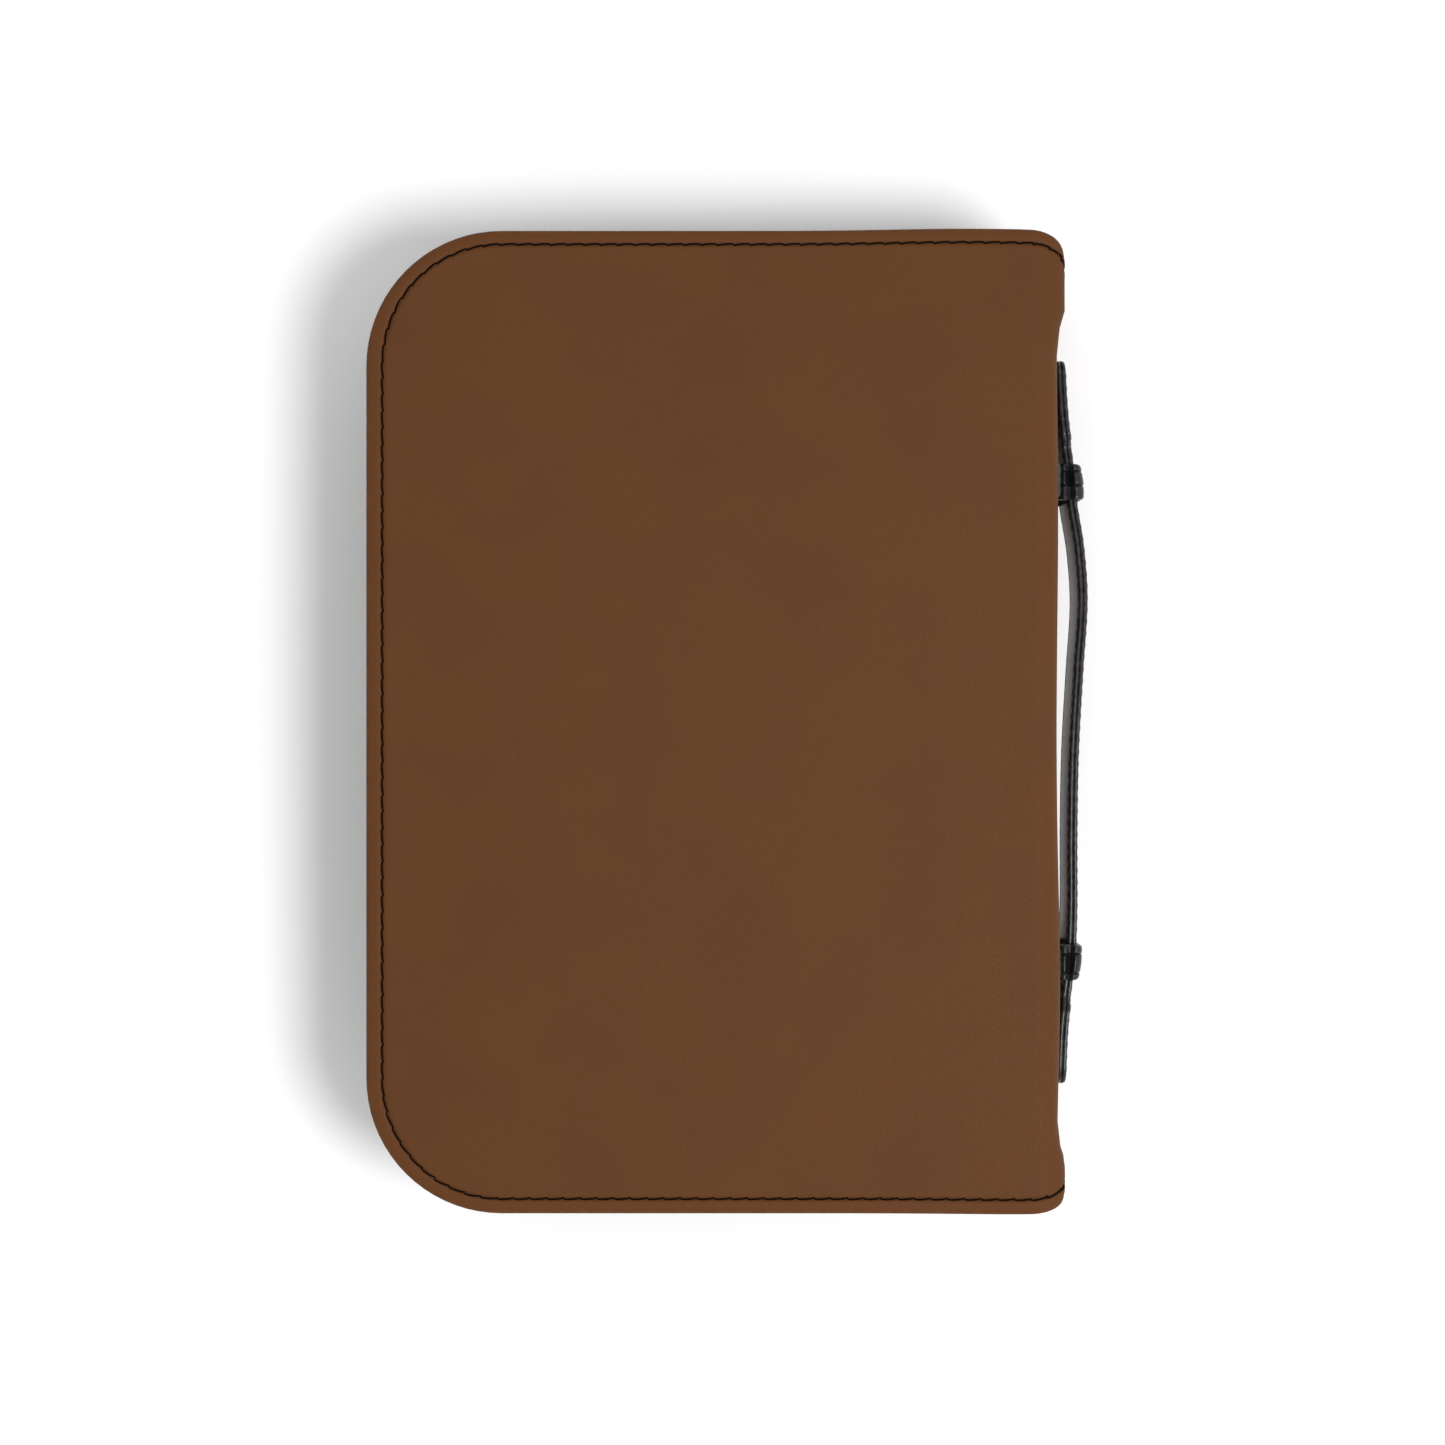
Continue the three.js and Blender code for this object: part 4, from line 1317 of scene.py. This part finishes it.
strapStitch = {"pitch": 3.1 * mm, "radius": 0.21 * mm, "sides": 6, "shape": plainStitch(1.25, 0.17)}


# a smooth curve through the strap's line: how far it stands off the spine at y
def strapOff(y):
    line = strap["line"]
    y /= mm
    k = max(i for i in range(len(line) - 1) if line[i][0] <= y or i == 0)
    (y0, a), (y1, b) = line[k], line[k + 1]

    def slope(i):
        if i <= 0 or i >= len(line) - 1:
            return 0
        return (line[i + 1][1] - line[i - 1][1]) / (line[i + 1][0] - line[i - 1][0])

    step = y1 - y0
    t = (y - y0) / step
    value = (2 * t ** 3 - 3 * t * t + 1) * a + (t ** 3 - 2 * t * t + t) * step * slope(k)
    value += (3 * t * t - 2 * t ** 3) * b + (t ** 3 - t * t) * step * slope(k + 1)
    return value * mm


# reach is the length from the grip's middle
def strapHalfWidth(reach):
    width = mix(strap["gripHalf"], strap["endHalf"], smooth(*strap["shoulder"], reach))
    over = reach - (strap["reach"] - strap["tipRadius"])
    if over > 0:
        width -= strap["tipRadius"] - math.sqrt(max(0, strap["tipRadius"] ** 2 - over ** 2))
    return width


# round the strap's section, out from its middle and up
def strapSection(width):
    outer = [(u * mm, width - v * mm) for u, v in strap["layer"]]
    upper = outer + [(0, width - strap["jointInset"])] + [(-u, v) for u, v in reversed(outer)]
    lower = [(u, -v) for u, v in reversed(upper)]
    return upper + [(-strap["halfThickness"], 0)] + lower + [(strap["halfThickness"], 0)]


# the strap's middle at y, and its outward direction
def strapFrame(y):
    step = 0.5 * mm
    ahead = Vector((strapOff(y + step) - strapOff(y - step), 2 * step, 0)).normalized()
    return Vector((spineX + strapOff(y), y, middleH)), Vector((ahead.y, -ahead.x, 0))


# the run of (point, out) along one edge of one face
def strapSeam(sign, face, edge, steps=80):
    run = []
    for j in range(steps + 1):
        reach = strap["seamReach"] * j / steps
        centre, out = strapFrame(sign * reach)
        across = Vector((0, 0, edge * (strapHalfWidth(reach) - strap["seamInset"])))
        run.append((centre + out * face * strap["seamLevel"][face] + across, out * face))
    return run


def makeStrapHalf(end):
    sign = 1 if end == "head" else -1
    verts, rim, backingAndShadow = [], [], []
    rows, tipRows = strap["rows"], 8        # the last rows lie closer together, round the tip
    for j in range(rows):
        reach = strap["reach"] * j / (rows - 1)
        overTip = (j - rows + 1 + tipRows) / tipRows
        if overTip > 0:
            reach = strap["reach"] * (1 - tipRows / (rows - 1) * (1 - math.sin(math.pi / 2 * overTip)))
        centre, out = strapFrame(sign * reach)
        width = strapHalfWidth(reach)
        overEnd = max(0, 1 - (strap["reach"] - reach) / strap["endRound"])
        tip = math.sqrt(max(0.04, 1 - overEnd ** 2))
        for u, v in strapSection(width):
            verts.append(centre + out * u * tip + Vector((0, 0, v)))
            rim.append(1 - smooth(0.3 * mm, 1.4 * mm, width - abs(v)))
            # the inner face's pale grey: partly a paler layer, partly painted in place of the strap's soft
            # shadow beside the spine
            backingAndShadow.append(smooth(0.4 * mm, 1.1 * mm, width - abs(v)) if u < -1.1 * mm else 0)
    faces, masks = rodFaces(rows, len(verts) // rows), {"rim": rim, "backingAndShadow": backingAndShadow}
    piece = newPiece(f"strap{end.capitalize()}Half", verts, faces, blackLeather, masks=masks, sharp=60)
    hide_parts(f"handle_bend_{end}", f"handle_end_{end}")
    if end == "head":
        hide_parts("handle_grip")
    runs = [strapSeam(sign, face, edge) for face in (1, -1) for edge in (1, -1)]
    threads = sewRuns(f"strap{end.capitalize()}Stitches", runs, strapStitch, strapThread)
    for part in (piece, threads):
        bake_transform(part)


for end in ("head", "tail"):
    makeStrapHalf(end)
print("strap ready")


# the keepers: folded leather loops, creased near both edges, over sewn patches

keeperLow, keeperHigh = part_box("handle_keeper_head")
keeper = {
    "centreY": (keeperLow.y + keeperHigh.y) / 2,
    "footX": spineX + 0.9 * mm,
    "outX": {"head": spineX + 7.9 * mm, "tail": spineX + 7.4 * mm},
    "halfHeight": 12.7 * mm,
    "corner": 2.4 * mm,
    "slotLowX": spineX + 1.4 * mm,
    "slotHalf": 10.25 * mm,
    "slotCorner": 0.8 * mm,
    "wall": 1.25 * mm,
    "lean": 0.10,                   # the outer side follows the strap's slope
    "edgeRound": 0.6 * mm,
    "edgeReach": 0.8 * mm,
    "cornerRound": 0.60 * mm,       # the outer side's corners are cut back this much further
    "cornerReach": 2.6 * mm,
    "swell": 0.15 * mm,             # its middle stands up this much
    "swellWidth": 1.6 * mm,
    "creases": {"head": (-1.0 * mm, 2.7 * mm), "tail": (-2.75 * mm, 2.2 * mm)},
    "creaseWidth": 0.24 * mm,
    "creaseDepth": 0.60 * mm,
    "creaseOnFace": 0.3,            # its share of that on the outer side
    "hollowX": spineX + 4.2 * mm,   # a hollow runs across the top and the bottom, between two lobes
    "hollowHalf": 1.30 * mm,
    "hollowDepth": 2.0 * mm,
    "hollowOutside": 0.55,          # its share of that outside the creases
    "halfWidth": 4.7 * mm,
    "rows": 61,
    # shares of half the way round, close together over the top or the bottom
    "turns": [0.0425 * k for k in range(8)] + [0.34 + 0.0025 * k for k in range(64)],
}
patch = {
    "lowX": spineX + 0.05 * mm,
    "thickness": 1.2 * mm,
    "halfZ": 17 * mm,
    "halfY": 4.6 * mm,
    "edgeShare": 0.45,              # of the thickness, left at its edges
    "edgeReach": 0.8 * mm,
    "seamZ": 15.2 * mm,
    "seamHalf": 3.6 * mm,
    "rows": 41,
    "columns": 13,
}
patchStitch = {"pitch": 2.4 * mm, "radius": 0.2 * mm, "sides": 6, "shape": plainStitch(1.0, 0.18)}


# a point and its outward direction on a rounded rectangle, t from 0 to 1
def roundedLoop(t, lowX, highX, halfZ, radius):
    spans = [2 * (halfZ - radius), math.pi * radius / 2, highX - lowX - 2 * radius, math.pi * radius / 2] * 2
    reach = t * sum(spans)
    x, z, heading = highX, radius - halfZ, 0.0
    for k, span in enumerate(spans):
        part = min(reach, span)
        if k % 2 == 0:
            x += -math.sin(heading) * part
            z += math.cos(heading) * part
        else:
            centre = (x - math.cos(heading) * radius, z - math.sin(heading) * radius)
            heading += part / radius
            x = centre[0] + math.cos(heading) * radius
            z = centre[1] + math.sin(heading) * radius
        reach -= part
        if reach <= 0:
            break
    return x, z, math.cos(heading), math.sin(heading)


def makeKeeper(end):
    sign = 1 if end == "head" else -1
    outX, rows = keeper["outX"][end], keeper["rows"]
    turns = [half + share for half in (0, 0.5) for share in keeper["turns"]]
    low, high = keeper["creases"][end]
    verts, rim = [], []
    for layer in ("outer", "inner"):
        for j in range(rows):
            dy = keeper["halfWidth"] * (2 * j / (rows - 1) - 1)
            fromEdge = keeper["halfWidth"] - abs(dy)
            crease = bump(low, keeper["creaseWidth"], dy) + bump(high, keeper["creaseWidth"], dy)
            # 1 between the creases; just outside them a lighter mark, partly rubbing and partly a painted
            # glint
            between = smooth(low - 0.4 * mm, low + 0.2 * mm, dy)
            between *= 1 - smooth(high - 0.2 * mm, high + 0.4 * mm, dy)
            rubbed = max(bump(low - 0.5 * mm, 0.25 * mm, dy), bump(high + 0.5 * mm, 0.25 * mm, dy))
            for t in turns:
                if layer == "outer":
                    x, z, nx, nz = roundedLoop(t, keeper["footX"], outX, keeper["halfHeight"],
                                               keeper["corner"])
                    hollow = max(0, 1 - abs(x - keeper["hollowX"]) / keeper["hollowHalf"]) * (abs(nz) > 0.5)
                    hollow *= keeper["hollowDepth"] * mix(keeper["hollowOutside"], 1, between)
                    dent = keeper["creaseDepth"] * crease * mix(keeper["creaseOnFace"], 1, abs(nz))
                    dent += keeper["edgeRound"] * roundOver(fromEdge, keeper["edgeReach"])
                    dent = max(hollow, dent) - keeper["swell"] * bump(0, keeper["swellWidth"], dy)
                    cut = keeper["cornerRound"] * roundOver(fromEdge, keeper["cornerReach"])
                    x -= nx * dent + cut * smooth(keeper["footX"], outX, x) ** 3
                    z -= nz * dent
                else:
                    x, z, nx, nz = roundedLoop(t, keeper["slotLowX"], outX - keeper["wall"],
                                               keeper["slotHalf"], keeper["slotCorner"])
                x -= keeper["lean"] * dy * sign * smooth(keeper["footX"], outX, x)
                verts.append(Vector((x, sign * keeper["centreY"] + dy, middleH + z)))
                # the rim mask: rubbed edges, and half of the lighter mark beside the creases, which paints
                # glints there
                rim.append(max(1 - smooth(0.2 * mm, 1.0 * mm, fromEdge), 0.5 * rubbed))
    faces = layeredFaces(rows, len(turns), True)
    piece = newPiece(f"{end}Keeper", verts, faces, blackLeather, masks={"rim": rim}, sharp=60)
    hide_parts(f"handle_keeper_{end}")
    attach(piece, "spine")


def makePatch(end):
    centreY = keeper["centreY"] * (1 if end == "head" else -1)
    rows, columns = patch["rows"], patch["columns"]
    verts, rim = [], []
    for layer in (0, 1):
        for j in range(rows):
            z = patch["halfZ"] * (2 * easedPlace(j, rows) - 1)
            for i in range(columns):
                y = patch["halfY"] * (2 * easedPlace(i, columns) - 1)
                fromEdge = min(patch["halfZ"] - abs(z), patch["halfY"] - abs(y))
                full = smooth(0, patch["edgeReach"], fromEdge)
                lift = patch["thickness"] * mix(patch["edgeShare"], 1, full) * layer
                verts.append(Vector((patch["lowX"] + lift, centreY + y, middleH + z)))
                rim.append(1 - smooth(0.1 * mm, 0.8 * mm, fromEdge))
    faces = layeredFaces(rows, columns)
    piece = newPiece(f"{end}KeeperPatch", verts, faces, blackLeather, masks={"rim": rim}, sharp=60)
    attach(piece, "spine")
    topX, out = patch["lowX"] + patch["thickness"], Vector((1, 0, 0))
    runs = [[(Vector((topX, centreY + part * patch["seamHalf"], middleH + edge * patch["seamZ"])), out)
             for part in (-1, 0, 1)] for edge in (1, -1)]
    threads = sewRuns(f"{end}KeeperStitches", runs, patchStitch, strapThread)
    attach(threads, "spine")


for end in ("head", "tail"):
    makeKeeper(end)
    makePatch(end)
print("keepers ready")
